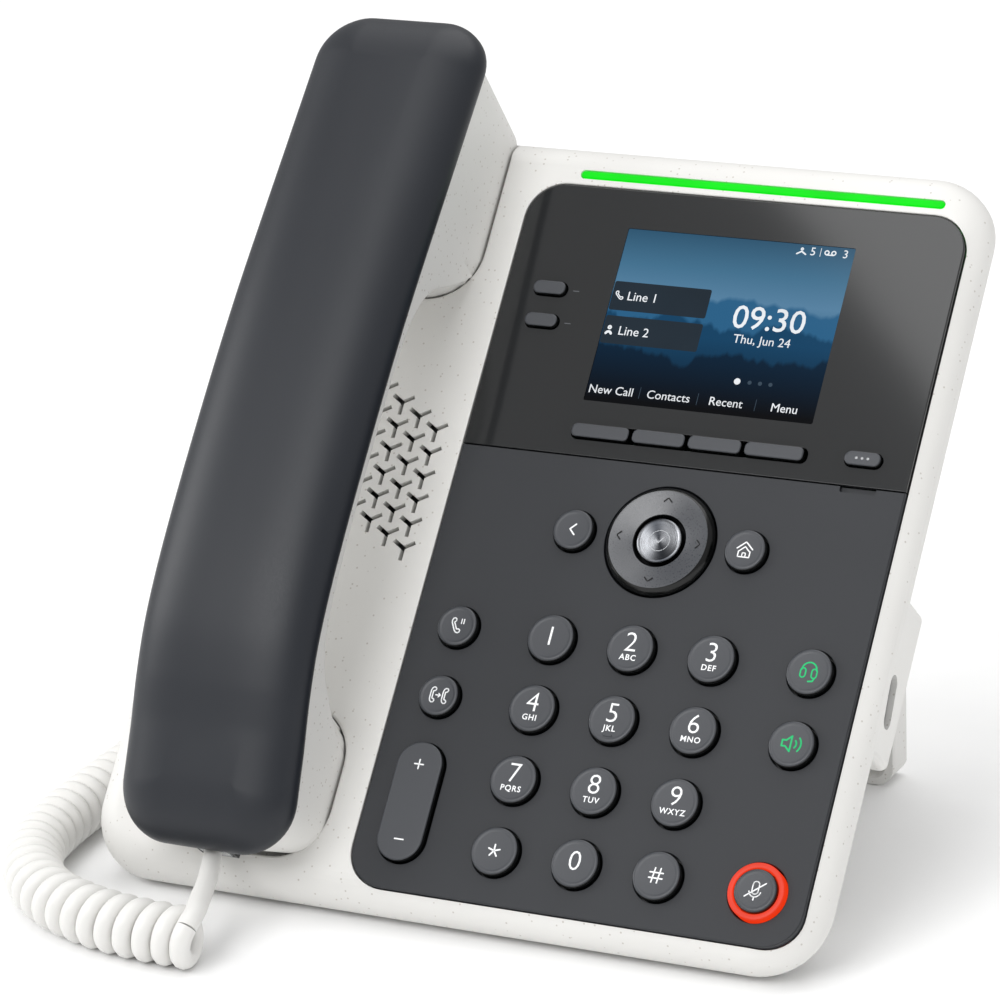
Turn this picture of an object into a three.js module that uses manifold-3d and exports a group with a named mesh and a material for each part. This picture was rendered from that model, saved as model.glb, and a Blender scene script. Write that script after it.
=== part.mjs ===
// Desk telephone: a wedge-shaped base with a colour display and a key field, a handset lying on its
// left side, a fold-away leg behind and a coiled handset cord. Millimetres, +Z up, front towards -Y.
//
// The face is flat and leans back by FACE_TILT. Most pieces are drawn in the face's own frame:
// x across, y up the slope from the front edge, z out of the face (0 on the face).
import * as THREE from "three";
import { mergeVertices } from "three/addons/utils/BufferGeometryUtils.js";
import Module from "manifold-3d";

const wasm = await Module();
wasm.setup();

// ---------------------------------------------------------------- driving dimensions
const GAP = 0.3; // clearance between pieces that touch
const FACE_TILT = THREE.MathUtils.degToRad(50);
const CENTRE_Y = -55.3; // puts the origin under the middle of the phone

const BASE = { width: 184.5, length: 194.3, corner: 13, round: 8, skirt: 16, wall: 2.5 };
const EDGE_LIFT = 0.63; // the rounded front edge hangs this far above the desk
const BACK = { depth: 32, inset: 9, taper: 7, wall: 2.2, flange: 2.2, lift: 1.5 };
const PLATE = { centre: 32.8, width: 111, bottom: 4.6, seam: 114, top: 182.4, corner: 9, thick: 2 };

const LIGHT = { x: 34.9, y: 185.4, width: 91.8, height: 1.6 };
const KEY = { radius: 5.75, small: 5, rise: 1.5, flange: 0.75, sides: 16 };
const KEY_HOLE_GAP = 0.3;
const COLUMN = { pitch: 19.95, side: 43.75 };
const ROW = { first: 68.5, pitch: 17.25, nav: 95.3, soft: 120.1 };
const NAV = { outer: 13.4, inner: 6.3, button: 5.7 };
const PILL = { height: 3.4, short: 8.4, rocker: 11.5 };
const ROCKER_FLANGE = -2.9; // low enough to let either end of the rocker rise
const SOFT = { left: 4, outer: 14.8, inner: 13.5, gap: 0.6 };

const HANDSET = { centre: -53.1, width: 45, corner: 14, bottom: 1.8, top: 206, seat: -4.7 };
const EAR = { from: 150, hole: 172, receiver: 12 };
const MOUTH = { from: 7.3, to: 43, microphone: 22 };
const SOCKET = { x: HANDSET.centre + 0.8, height: 9, front: 5, back: 17 };
const WELL = { floor: -5, clearance: 1.1, wall: 2.2 };

const LEG = { half: 64.8, depth: 10, rear: 128.7, wall: 2.5, corner: 10, top: 109.5, pin: 2 };
const BAY = { left: -52, right: 36, low: 44, high: 98, floor: -17 };
const CORD = { wire: 4.4, coil: 14.5, sides: 12 };

// ---------------------------------------------------------------- geometry helpers
const vec = (x, y, z) => new THREE.Vector3(x, y, z);

/** A closed three.js geometry as a manifold-3d solid. */
function solidOf(geometry) {
  const bare = geometry.clone();
  bare.deleteAttribute("normal");
  bare.deleteAttribute("uv");
  const merged = mergeVertices(bare, 1e-4);
  return new wasm.Manifold(
    new wasm.Mesh({
      numProp: 3,
      vertProperties: merged.attributes.position.array,
      triVerts: new Uint32Array(merged.index.array),
    }),
  );
}

/** A manifold-3d solid as a three.js geometry. */
function geometryOf(solid) {
  const mesh = solid.getMesh();
  const geometry = new THREE.BufferGeometry();
  geometry.setAttribute("position", new THREE.BufferAttribute(mesh.vertProperties, 3));
  geometry.setIndex(new THREE.BufferAttribute(mesh.triVerts, 1));
  geometry.computeVertexNormals();
  return geometry;
}

const join = (first, ...rest) => rest.reduce((all, piece) => all.add(piece), first);
const cut = (first, ...rest) => rest.reduce((all, piece) => all.subtract(piece), first);

/** A rectangle with round corners, given by its edges. */
function roundedRect(left, right, low, high, radius) {
  const shape = new THREE.Shape();
  const quarter = Math.PI / 2;
  shape.absarc(right - radius, low + radius, radius, -quarter, 0);
  shape.absarc(right - radius, high - radius, radius, 0, quarter);
  shape.absarc(left + radius, high - radius, radius, quarter, 2 * quarter);
  shape.absarc(left + radius, low + radius, radius, 2 * quarter, 3 * quarter);
  return shape;
}

/** A rectangle with round corners about a centre. */
const centredRect = (x, y, width, length, radius) =>
  roundedRect(x - width / 2, x + width / 2, y - length / 2, y + length / 2, radius);

function polygon(points) {
  return new THREE.Shape(points.map(([x, y]) => new THREE.Vector2(x, y)));
}

/** A flat outline given thickness from one height to another. */
function slab(shape, low, high, curveSegments = 3) {
  const options = { depth: high - low, bevelEnabled: false, curveSegments };
  return new THREE.ExtrudeGeometry(shape, options).translate(0, 0, low);
}

/** A slab whose top and bottom edges are rounded or, with one step, bevelled. */
function softSlab(shape, low, high, size, thickness = size, steps = 3, curveSegments = 3) {
  const options = {
    depth: high - low - 2 * thickness,
    bevelSize: size,
    bevelOffset: -size,
    bevelThickness: thickness,
    bevelSegments: steps,
    curveSegments,
  };
  return new THREE.ExtrudeGeometry(shape, options).translate(0, 0, low + thickness);
}

/** An outline drawn as (slope, height), given width from one x to another. */
function profileSlab(shape, left, right, round = 0) {
  const geometry = round
    ? softSlab(shape, left, right, round)
    : slab(shape, left, right);
  const turn = new THREE.Matrix4().makeBasis(vec(0, 1, 0), vec(0, 0, 1), vec(1, 0, 0));
  return geometry.applyMatrix4(turn);
}

/** A turned piece standing along z, from (radius, height) points. */
function turned(points, sides = KEY.sides) {
  const outline = points.map(([radius, height]) => new THREE.Vector2(radius, height));
  return new THREE.LatheGeometry(outline, sides).rotateX(Math.PI / 2);
}

/** A round bar or hole along z. */
const disc = (x, y, radius, low, high, sides = KEY.sides) =>
  turned([[0, low], [radius, low], [radius, high], [0, high]], sides).translate(x, y, 0);

function box(left, right, low, high, bottom, top) {
  return new THREE.BoxGeometry(right - left, high - low, top - bottom).translate(
    (left + right) / 2,
    (low + high) / 2,
    (bottom + top) / 2,
  );
}

/** A round bar along a smooth path. */
function tube(points, diameter, sides, steps) {
  const section = new THREE.Shape();
  section.absarc(0, 0, diameter / 2, 0, 2 * Math.PI);
  const route = new THREE.CatmullRomCurve3(points, false, "centripetal");
  const options = { steps, extrudePath: route, curveSegments: sides / 2 };
  return new THREE.ExtrudeGeometry(section, options);
}

// ---------------------------------------------------------------- scene graph
const phone = new THREE.Group();
const desk = new THREE.Group(); // pieces drawn upright, before the phone is centred
desk.position.set(0, CENTRE_Y, 0);
const face = new THREE.Group();
face.rotation.x = FACE_TILT;
const rest = {
  y: -BASE.round * Math.sin(FACE_TILT),
  z: EDGE_LIFT + BASE.round - BASE.round * (Math.sin(FACE_TILT) - Math.cos(FACE_TILT)),
};
face.position.set(0, rest.y, rest.z);
desk.add(face);
phone.add(desk);

/** A point of the face frame, upright. */
const upright = (x, y, z) =>
  vec(x, y, z).applyAxisAngle(vec(1, 0, 0), FACE_TILT).add(face.position);

const FINISH = {
  shell: { color: 0xe4e3e0, roughness: 0.55 },
  charcoal: { color: 0x3e4045, roughness: 0.6 },
  lens: { color: 0x101114, roughness: 0.08 },
  cover: { color: 0x45484f, roughness: 0.45 },
  key: { color: 0x3a3d43, roughness: 0.5 },
  green: { color: 0x00e63c, roughness: 0.4 },
  red: { color: 0xff4a1c, roughness: 0.4 },
  rubber: { color: 0x2a2b2d, roughness: 0.9 },
  board: { color: 0x1d5a3a, roughness: 0.5 },
  steel: { color: 0xb8babd, roughness: 0.3, metalness: 1 },
  socket: { color: 0x1c1d1f, roughness: 0.5 },
  screen: { color: 0x1b3f73, roughness: 0.2 },
  cord: { color: 0xe6e5e3, roughness: 0.5 },
  clear: { color: 0xd8dcdf, roughness: 0.1 },
};

/** Adds one named piece to a group, at a place in that group. */
function addPiece(group, name, shape, finish, x = 0, y = 0, z = 0) {
  const geometry = shape.isBufferGeometry ? shape : geometryOf(shape);
  const material = new THREE.MeshStandardMaterial(FINISH[finish]);
  const mesh = new THREE.Mesh(geometry, material);
  mesh.name = name;
  mesh.position.set(x, y, z);
  group.add(mesh);
}

// ---------------------------------------------------------------- shapes shared by the casings
const halfBase = BASE.width / 2;

/** Everything under a level that lies this far above the desk, in the face frame. */
function underLevel(lift) {
  const reach = 60;
  const slope = Math.tan(FACE_TILT);
  const start = (lift - rest.z) / Math.sin(FACE_TILT); // where the level meets the face
  const points = [[start - reach, 0], [start, 0], [start + reach / slope, -reach], [start - reach, -reach]];
  return solidOf(profileSlab(polygon(points), -halfBase - 5, halfBase + 5));
}

/** The base's outline, drawn in by an inset. */
const baseOutline = (inset, radius) =>
  roundedRect(-halfBase + inset, halfBase - inset, inset, BASE.length - inset, radius);

/** The outline of a recess that takes one end of the handset. */
function wellOutline(low, high, spread) {
  const half = HANDSET.width / 2 + spread;
  const radius = HANDSET.corner + spread - 1;
  return roundedRect(HANDSET.centre - half, HANDSET.centre + half, low - spread, high + spread, radius);
}

// ---------------------------------------------------------------- key layout
const column = (index) => PLATE.centre + index * COLUMN.pitch;
const leftSide = PLATE.centre - COLUMN.side;
const rightSide = PLATE.centre + COLUMN.side;
const row = (index) => ROW.first - index * ROW.pitch;

const digitNames = ["1", "2", "3", "4", "5", "6", "7", "8", "9", "star", "0", "pound"];
const roundKeys = digitNames.map((name, i) => ({
  name: `key_${name}`,
  x: column((i % 3) - 1),
  y: row(Math.floor(i / 3)),
  radius: KEY.radius,
}));
roundKeys.push(
  { name: "hold_key", x: leftSide, y: row(0), radius: KEY.small },
  { name: "transfer_key", x: leftSide, y: row(1), radius: KEY.small },
  { name: "headset_key", x: rightSide, y: row(0), radius: 5.5 },
  { name: "speaker_key", x: rightSide, y: row(1), radius: 5.5 },
  { name: "mute_key", x: rightSide, y: row(3), radius: 5.6 },
  { name: "back_key", x: PLATE.centre - 21.5, y: ROW.nav, radius: KEY.small },
  { name: "home_key", x: PLATE.centre + 21.5, y: ROW.nav, radius: KEY.small },
);
const MUTE_RING = { inner: 5.9, outer: 7.1, rise: 0.4 };
const rocker = { x: leftSide, y: (row(2) + row(3)) / 2, length: ROW.pitch + PILL.rocker };

const softKeys = [];
let softLeft = SOFT.left;
for (let i = 0; i < 4; i++) {
  const width = i === 0 || i === 3 ? SOFT.outer : SOFT.inner;
  softKeys.push({ name: `soft_key_${i + 1}`, x: softLeft + width / 2, y: ROW.soft, width });
  softLeft += width + SOFT.gap;
}
const pillKeys = [
  { name: "line_key_1", x: leftSide - 0.1, y: 155.1, width: PILL.short },
  { name: "line_key_2", x: leftSide - 0.1, y: 146.7, width: PILL.short },
  { name: "more_key", x: rightSide, y: 120.6, width: PILL.short + 0.5 },
];

// ---------------------------------------------------------------- front shell
const GRILLE = {
  x: -30.6,
  y: 116.5,
  columns: 4,
  rows: 6,
  pitch: 6.05,
  stagger: 3,
  arm: 3.2,
  width: 1.05,
};

/** One three-armed grille slot about its centre. */
function grilleSlot(x, y) {
  const points = [];
  for (let arm = 0; arm < 3; arm++) {
    const along = Math.PI / 6 + (arm * 2 * Math.PI) / 3;
    const out = new THREE.Vector2(Math.cos(along), Math.sin(along));
    const side = new THREE.Vector2(-out.y, out.x).multiplyScalar(GRILLE.width / 2);
    const tip = out.clone().multiplyScalar(GRILLE.arm);
    const crotch = out.clone().rotateAround(new THREE.Vector2(), Math.PI / 3);
    crotch.multiplyScalar(GRILLE.width / Math.sqrt(3));
    points.push([x + tip.x - side.x, y + tip.y - side.y]);
    points.push([x + tip.x + side.x, y + tip.y + side.y]);
    points.push([x + crotch.x, y + crotch.y]);
  }
  return solidOf(slab(polygon(points), -6, 1));
}

function frontShell() {
  const outer = solidOf(softSlab(baseOutline(0, BASE.corner), -4 * BASE.round, 0, BASE.round));
  const inner = solidOf(
    softSlab(baseOutline(BASE.wall, BASE.corner - 2), -5 * BASE.round, -BASE.wall, 5.5),
  );
  const below = solidOf(box(-200, 200, -50, 300, -80, -BASE.skirt));
  const pod = solidOf(softSlab(roundedRect(87.5, halfBase - 0.05, 54, 92, 1.8), -20, -6, 1.5, 2, 1));
  const wells = [
    [EAR.from, HANDSET.top, 12],
    [MOUTH.from, MOUTH.to, 9],
  ];
  let shell = cut(outer, below);
  shell = cut(shell, cut(inner, underLevel(EDGE_LIFT + BASE.wall)));
  const insideOuter = cut(outer, below, underLevel(EDGE_LIFT));
  for (const [low, high] of wells) {
    const cup = solidOf(slab(wellOutline(low, high, WELL.clearance + WELL.wall), WELL.floor - WELL.wall, -1));
    shell = join(shell, cup.intersect(insideOuter));
  }
  shell = join(shell, pod);
  for (const [low, high] of wells)
    shell = cut(shell, solidOf(slab(wellOutline(low, high, WELL.clearance), WELL.floor, 5)));
  shell = cut(shell, underLevel(EDGE_LIFT));
  const panel = roundedRect(
    PLATE.centre - PLATE.width / 2 - GAP,
    PLATE.centre + PLATE.width / 2 + GAP,
    PLATE.bottom - GAP,
    PLATE.top + GAP,
    PLATE.corner,
  );
  shell = cut(shell, solidOf(slab(panel, -6, 1)));
  for (let i = 0; i < GRILLE.columns; i++)
    for (let j = 0; j < GRILLE.rows; j++) {
      const x = GRILLE.x - i * GRILLE.pitch * Math.sin(Math.PI / 3);
      const y = GRILLE.y + i * GRILLE.stagger - j * GRILLE.pitch;
      shell = cut(shell, grilleSlot(x, y));
    }
  const lightSlot = centredRect(LIGHT.x, LIGHT.y, LIGHT.width + 2 * GAP, LIGHT.height + 2 * GAP, 1);
  const plungerHole = solidOf(disc(HANDSET.centre, EAR.hole - 14, 3.1, -9, 0));
  shell = cut(shell, solidOf(slab(lightSlot, -5, 1)), plungerHole);
  return cut(shell, solidOf(usbSlot(12.6, 4.6, 75, 120)));
}

/** A slot with round ends in the right side wall, from one x to another. */
function usbSlot(length, height, left, right) {
  const outline = centredRect(0, 0, length, height, height / 2 - 0.01);
  const turn = new THREE.Matrix4().makeBasis(vec(0, 1, 0), vec(0, 0, 1), vec(1, 0, 0));
  const geometry = slab(outline, 0, right - left).applyMatrix4(turn);
  return geometry.rotateX(THREE.MathUtils.degToRad(10)).translate(left, 68, -11.5);
}

addPiece(face, "front_shell", frontShell(), "shell");

// ---------------------------------------------------------------- rear housing
const JACKS = [
  { name: "handset_jack", x: -42, width: 11, height: 9.5, mouth: [8, 6.6] },
  { name: "headset_jack", x: -28, width: 11, height: 9.5, mouth: [8, 6.6] },
  { name: "lan_jack", x: -4, width: 16, height: 13.5, mouth: [11.8, 8.4] },
  { name: "pc_jack", x: 18, width: 16, height: 13.5, mouth: [11.8, 8.4] },
];
const JACK = { from: BAY.high + BACK.wall + GAP, depth: 15, top: -16.2 };
const hinge = { y: LEG.rear - LEG.depth / 2, z: 104 };

function rearHousing() {
  const { depth, inset, taper, wall, flange } = BACK;
  const above = solidOf(box(-200, 200, -50, 300, -BASE.skirt, 60));
  const bodyOf = (shrink, floor) => {
    const outline = baseOutline(inset + shrink, BASE.corner - 1 - shrink);
    return solidOf(softSlab(outline, floor, floor + depth + 2, taper, depth / 2, 1));
  };
  const outer = cut(bodyOf(0, -depth), above);
  const rimOutline = baseOutline(BASE.wall + 0.5, BASE.corner - 3);
  const rim = cut(
    solidOf(slab(rimOutline, -BASE.skirt, flange - BASE.skirt)),
    underLevel(EDGE_LIFT + BASE.wall + 0.6),
  );
  const inner = cut(bodyOf(wall, wall - depth), underLevel(BACK.lift + wall));
  const bayOuter = solidOf(
    box(BAY.left - wall, BAY.right + wall, BAY.low - wall, BAY.high + wall, -50, BAY.floor + wall),
  );
  const bay = solidOf(box(BAY.left, BAY.right, BAY.low, BAY.high, -50, BAY.floor));
  let housing = join(outer, rim);
  housing = cut(housing, cut(inner, bayOuter), bay);
  const pod = solidOf(box(80, 100, 52, 94, -40, 0));
  housing = cut(housing, underLevel(BACK.lift), pod);
  for (const jack of JACKS) {
    const [mouthWidth, mouthHeight] = jack.mouth;
    const middle = JACK.top - jack.height / 2;
    const across = mouthWidth / 2 + 0.4;
    const up = mouthHeight / 2 + 0.4;
    const [near, far] = [BAY.high - 1, BAY.high + wall + 1];
    const window = box(jack.x - across, jack.x + across, near, far, middle - up, middle + up);
    housing = cut(housing, solidOf(window));
  }
  const pin = toFace(hinge);
  for (const side of [-1, 1]) {
    const x = side * (LEG.half + 2.8);
    const lug = [
      [pin.y - 6, 1 - depth],
      [pin.y + 6, 1 - depth],
      [pin.y + 4, pin.z - 4],
      [pin.y - 4, pin.z - 4],
    ];
    housing = join(housing, solidOf(profileSlab(polygon(lug), x - 2, x + 2)));
    housing = cut(housing, solidOf(barAcross(x - 3, x + 3, pin, LEG.pin + GAP)));
  }
  return housing;
}

/** An upright (y, z) place in the face frame. */
function toFace({ y, z }) {
  const place = vec(0, y, z).sub(face.position).applyAxisAngle(vec(1, 0, 0), -FACE_TILT);
  return { y: place.y, z: place.z };
}

/** A round bar across the phone at a (y, z) place. */
function barAcross(left, right, place, radius, sides = 14) {
  const bar = new THREE.CylinderGeometry(radius, radius, right - left, sides);
  return bar.rotateZ(Math.PI / 2).translate((left + right) / 2, place.y, place.z);
}

addPiece(face, "rear_housing", rearHousing(), "shell");

for (const jack of JACKS) {
  const [mouthWidth, mouthHeight] = jack.mouth;
  const half = jack.width / 2;
  const middle = -jack.height / 2;
  const body = solidOf(box(-half, half, 0, JACK.depth, -jack.height, 0));
  const mouth = solidOf(
    box(-mouthWidth / 2, mouthWidth / 2, -1, 12, middle - mouthHeight / 2, middle + mouthHeight / 2),
  );
  addPiece(face, jack.name, cut(body, mouth), "socket", jack.x, JACK.from, JACK.top);
}

const usbBody = cut(solidOf(usbSlot(12, 4, 80, 90.8)), solidOf(usbSlot(10.2, 2.6, 84, 100)));
addPiece(face, "usb_c_port", usbBody, "steel");

// ---------------------------------------------------------------- display, boards and speaker
const plateEdge = (low, high, lowRadius, highRadius) => {
  const left = PLATE.centre - PLATE.width / 2;
  const right = PLATE.centre + PLATE.width / 2;
  const shape = new THREE.Shape();
  const quarter = Math.PI / 2;
  shape.absarc(right - lowRadius, low + lowRadius, lowRadius, -quarter, 0);
  shape.absarc(right - highRadius, high - highRadius, highRadius, 0, quarter);
  shape.absarc(left + highRadius, high - highRadius, highRadius, quarter, 2 * quarter);
  shape.absarc(left + lowRadius, low + lowRadius, lowRadius, 2 * quarter, 3 * quarter);
  return shape;
};

function keypadPlate() {
  let plate = solidOf(
    slab(plateEdge(PLATE.bottom, PLATE.seam - GAP / 2, PLATE.corner, 0.1), -PLATE.thick, 0),
  );
  const hole = (x, y, radius) => solidOf(disc(x, y, radius + KEY_HOLE_GAP, -4, 2));
  for (const key of roundKeys)
    plate = cut(plate, hole(key.x, key.y, key.name === "mute_key" ? MUTE_RING.outer : key.radius));
  plate = cut(plate, hole(PLATE.centre, ROW.nav, NAV.outer));
  const slot = centredRect(
    rocker.x,
    rocker.y,
    PILL.rocker + 2 * KEY_HOLE_GAP,
    rocker.length + 2 * KEY_HOLE_GAP,
    PILL.rocker / 2,
  );
  const notch = box(72.5, 81.3, PLATE.seam - 1.6, PLATE.seam + 1, -1, 1);
  return cut(plate, solidOf(slab(slot, -4, 2)), solidOf(notch));
}

function displayLens() {
  let lens = solidOf(
    slab(plateEdge(PLATE.seam + GAP / 2, PLATE.top, 0.1, PLATE.corner), -PLATE.thick, 0),
  );
  const height = PILL.height + 2 * KEY_HOLE_GAP;
  for (const key of pillKeys) {
    const outline = centredRect(key.x, key.y, key.width + 2 * KEY_HOLE_GAP, height, height / 2.1);
    lens = cut(lens, solidOf(slab(outline, -4, 2)));
  }
  const softRow = roundedRect(
    SOFT.left - KEY_HOLE_GAP,
    softLeft - SOFT.gap + KEY_HOLE_GAP,
    ROW.soft - height / 2,
    ROW.soft + height / 2,
    1.2,
  );
  return cut(lens, solidOf(slab(softRow, -4, 2)));
}

addPiece(face, "keypad_plate", keypadPlate(), "charcoal");
addPiece(face, "display_lens", displayLens(), "lens");
addPiece(face, "lcd_panel", slab(centredRect(PLATE.centre, 150.4, 66, 50, 1), -5.4, -2.3), "screen");
addPiece(face, "dome_mat", slab(roundedRect(-19, 84.5, 9, 110, 4), -6.4, -4.7), "rubber");
addPiece(face, "key_board", slab(roundedRect(-19.5, 85, 8.5, 178, 4), -8.4, -6.8), "board");
addPiece(face, "main_board", slab(roundedRect(-60, 76, 101.5, 180, 3), -15.6, -14), "board");
const lightBar = softSlab(centredRect(0, 0, LIGHT.width, LIGHT.height, 0.7), -3.5, 0.2, 0.3, 0.3, 1);
addPiece(face, "message_light_bar", lightBar, "green", LIGHT.x, LIGHT.y, 0);
const muteRing = turned([
  [MUTE_RING.inner, -1.8],
  [MUTE_RING.outer, -1.8],
  [MUTE_RING.outer, MUTE_RING.rise],
  [MUTE_RING.inner, MUTE_RING.rise],
  [MUTE_RING.inner, -1.8],
], 20);
addPiece(face, "mute_light_ring", muteRing, "red", rightSide, row(3), 0);
const speaker = turned([[0, -12.5], [9, -12.5], [9, -8.5], [17, -4], [17, -3], [15, -3], [0, -5]]);
addPiece(face, "loudspeaker", speaker, "rubber", -41, 104, -0.2);
const plunger = turned([
  [0, -13.4],
  [4.2, -13.4],
  [4.2, -11],
  [2.8, -11],
  [2.8, WELL.floor],
  [0, WELL.floor],
]);
addPiece(face, "hook_plunger", plunger, "socket", HANDSET.centre, EAR.hole - 14, 0);

// ---------------------------------------------------------------- keys
for (const key of roundKeys) {
  const wide = key.name === "mute_key" ? key.radius : key.radius + KEY.flange;
  const cap = turned([
    [0, -3],
    [wide, -3],
    [wide, -2.4],
    [key.radius, -2.4],
    [key.radius, KEY.rise - 0.35],
    [key.radius - 0.45, KEY.rise],
    [0, KEY.rise],
  ]);
  addPiece(face, key.name, cap, "key", key.x, key.y, 0);
}

/** A bar-shaped key cap, with a flange under the plate whose top lies at a level. */
function barKey(width, length, radius, rise, level = -2.4) {
  const cap = softSlab(centredRect(0, 0, width, length, radius), level - 0.4, rise, 0.35, 0.35, 1, 4);
  const foot = slab(centredRect(0, 0, width + 0.9, length + 0.9, radius), level - 0.6, level, 4);
  return join(solidOf(cap), solidOf(foot));
}

addPiece(
  face,
  "volume_rocker",
  barKey(PILL.rocker, rocker.length, PILL.rocker / 2 - 0.05, KEY.rise, ROCKER_FLANGE),
  "key",
  rocker.x,
  rocker.y,
);
for (const key of pillKeys)
  addPiece(face, key.name, barKey(key.width, PILL.height, 1.6, 1.2), "key", key.x, key.y);
for (const key of softKeys) {
  const cap = softSlab(centredRect(0, 0, key.width - 0.2, PILL.height, 0.9), -3, 1.2, 0.35, 0.35, 1, 2);
  addPiece(face, key.name, cap, "key", key.x, key.y);
}
const ring = turned([
  [NAV.inner, -2.6],
  [NAV.outer, -2.6],
  [NAV.outer, KEY.rise - 0.3],
  [NAV.outer - 0.6, KEY.rise],
  [NAV.inner + 0.6, 0.9],
  [NAV.inner, 0.6],
  [NAV.inner, -2.6],
], 24);
addPiece(face, "nav_ring", ring, "key", PLATE.centre, ROW.nav);
const select = turned([
  [0, -3],
  [NAV.button, -3],
  [NAV.button, 0.9],
  [NAV.button - 0.5, 1.2],
  [0, 1],
]);
addPiece(face, "select_button", select, "steel", PLATE.centre, ROW.nav);

// ---------------------------------------------------------------- handset
// Side outlines, as (slope, height) points: where the dark cover meets the light body, the crown of
// the cover above it, and the underside of the grip between the two cups.
const PARTING = [[0, 13.2], [12, 15.2], [26, 19.5], [39, 24.3], [52, 27.6], [70, 29.3], [100, 29.8],
  [130, 29.2], [158, 27.2], [187, 24.8], [208, 23.4]];
const CROWN = [[0, 22.5], [12, 24.6], [26, 28.4], [39, 33], [52, 36.4], [70, 38.6], [100, 39.4],
  [130, 38.8], [158, 36.8], [187, 34.2], [208, 32.6]];
const GRIP = [[46, 15], [54, 19.4], [70, 20.6], [100, 21], [130, 20], [143, 16]];

const handsetPlan = () =>
  roundedRect(
    HANDSET.centre - HANDSET.width / 2,
    HANDSET.centre + HANDSET.width / 2,
    HANDSET.bottom,
    HANDSET.top,
    HANDSET.corner,
  );

/** The points of an outline, lifted. */
const lifted = (points, lift) => points.map(([slope, height]) => [slope, height + lift]);

function handsetCover() {
  const left = HANDSET.centre - HANDSET.width / 2;
  const floor = [...lifted(PARTING, -9)].reverse();
  const crown = solidOf(profileSlab(polygon([...floor, ...CROWN].reverse()), left, left + HANDSET.width, 6));
  const plan = solidOf(softSlab(handsetPlan(), -60, 60, 1, 1, 1, 6));
  const under = polygon([[210, -20], ...[...PARTING].reverse(), [-2, -20]]);
  const below = solidOf(profileSlab(under, left - 5, left + 60));
  const hollow = lifted(CROWN, -3).reverse();
  const cave = profileSlab(polygon([...lifted(PARTING, -5), ...hollow]), left + 4, left + HANDSET.width - 4);
  const cavePlan = solidOf(slab(centredRect(HANDSET.centre, 104, HANDSET.width - 8, 192, 11), -60, 60));
  return cut(crown.intersect(plan), below, solidOf(cave).intersect(cavePlan));
}

function handsetBody() {
  const left = HANDSET.centre - HANDSET.width / 2 + GAP;
  const right = HANDSET.centre + HANDSET.width / 2 - GAP;
  const top = lifted(PARTING, -GAP);
  const arch = [[3, 8], [40, 8], ...GRIP, [150, 8], [203, 8]];
  const grip = profileSlab(polygon([...arch, ...[...top].reverse()]), left, right);
  const above = solidOf(profileSlab(polygon([...top, [210, 60], [-2, 60]]), left - 5, right + 5));
  const cups = [
    roundedRect(left, right, EAR.from, HANDSET.top, HANDSET.corner - 1),
    roundedRect(left, right, MOUTH.from, MOUTH.to, HANDSET.corner - 1),
  ].map((outline) => solidOf(softSlab(outline, HANDSET.seat, 40, 1.5, 1.5, 1)));
  const plan = solidOf(slab(handsetPlan(), -60, 60));
  // Both end walls lean inwards towards the seat.
  const ends = [
    [[190, -40], [193.2, HANDSET.seat], [202.3, 24], [206, 34], [230, 34], [230, -40]],
    [[16, -40], [9.2, HANDSET.seat], [3.2, 13], [0, 20], [-20, 20], [-20, -40]],
  ].map((points) => solidOf(profileSlab(polygon(points), left - 5, right + 5)));
  let body = cut(join(solidOf(grip), ...cups), above, ...ends).intersect(plan);
  const receiver = solidOf(disc(HANDSET.centre, EAR.hole, EAR.receiver + GAP, -10, 7));
  const microphone = solidOf(disc(HANDSET.centre, MOUTH.microphone, 4 + GAP, -10, 2));
  const socket = solidOf(
    box(SOCKET.x - 5.1, SOCKET.x + 5.1, -5, SOCKET.back + GAP, SOCKET.height - 4.4, SOCKET.height + 4.4),
  );
  body = cut(body, receiver, microphone);
  return cut(body, socket);
}

addPiece(face, "handset_cover", handsetCover(), "cover");
addPiece(face, "handset_body", handsetBody(), "shell");
const receiver = turned([[0, -3.9], [EAR.receiver, -3.9], [EAR.receiver, 0], [9, 5], [0, 5]]);
addPiece(face, "earpiece_receiver", receiver, "rubber", HANDSET.centre, EAR.hole);
addPiece(face, "handset_microphone", disc(0, 0, 4, -3.9, 1.5), "rubber", HANDSET.centre, MOUTH.microphone);
const socketBody = solidOf(box(-4.8, 4.8, SOCKET.front, SOCKET.back, -4.1, 4.1));
const socketMouth = solidOf(box(-4, 4, 0, 15, -3.3, 3.3));
addPiece(face, "handset_socket", cut(socketBody, socketMouth), "socket", SOCKET.x, 0, SOCKET.height);

// ---------------------------------------------------------------- leg, hinge pin and feet
/** A piece drawn as an (x, height) outline, given depth towards the back. */
function uprightSlab(shape, front, back, curveSegments = 3) {
  const turn = new THREE.Matrix4().makeBasis(vec(1, 0, 0), vec(0, 0, 1), vec(0, -1, 0));
  return slab(shape, -back, -front, curveSegments).applyMatrix4(turn);
}

function standLeg() {
  const front = LEG.rear - LEG.depth;
  const { half, wall, top, corner } = LEG;
  const plate = solidOf(uprightSlab(roundedRect(-half, half, 0, top, corner), front, LEG.rear));
  const side = new THREE.Shape();
  side.moveTo(front, -1);
  side.lineTo(LEG.rear, -1);
  side.absarc(hinge.y, hinge.z, LEG.depth / 2, 0, Math.PI);
  const hollow = roundedRect(-half + wall, half - wall, wall, hinge.z - 7, corner - wall);
  const bore = barAcross(-half - 5, half + 5, hinge, LEG.pin + GAP);
  const rounded = plate.intersect(solidOf(profileSlab(side, -half - 1, half + 1)));
  return cut(rounded, solidOf(uprightSlab(hollow, front - 5, LEG.rear - wall)), solidOf(bore));
}

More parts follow.
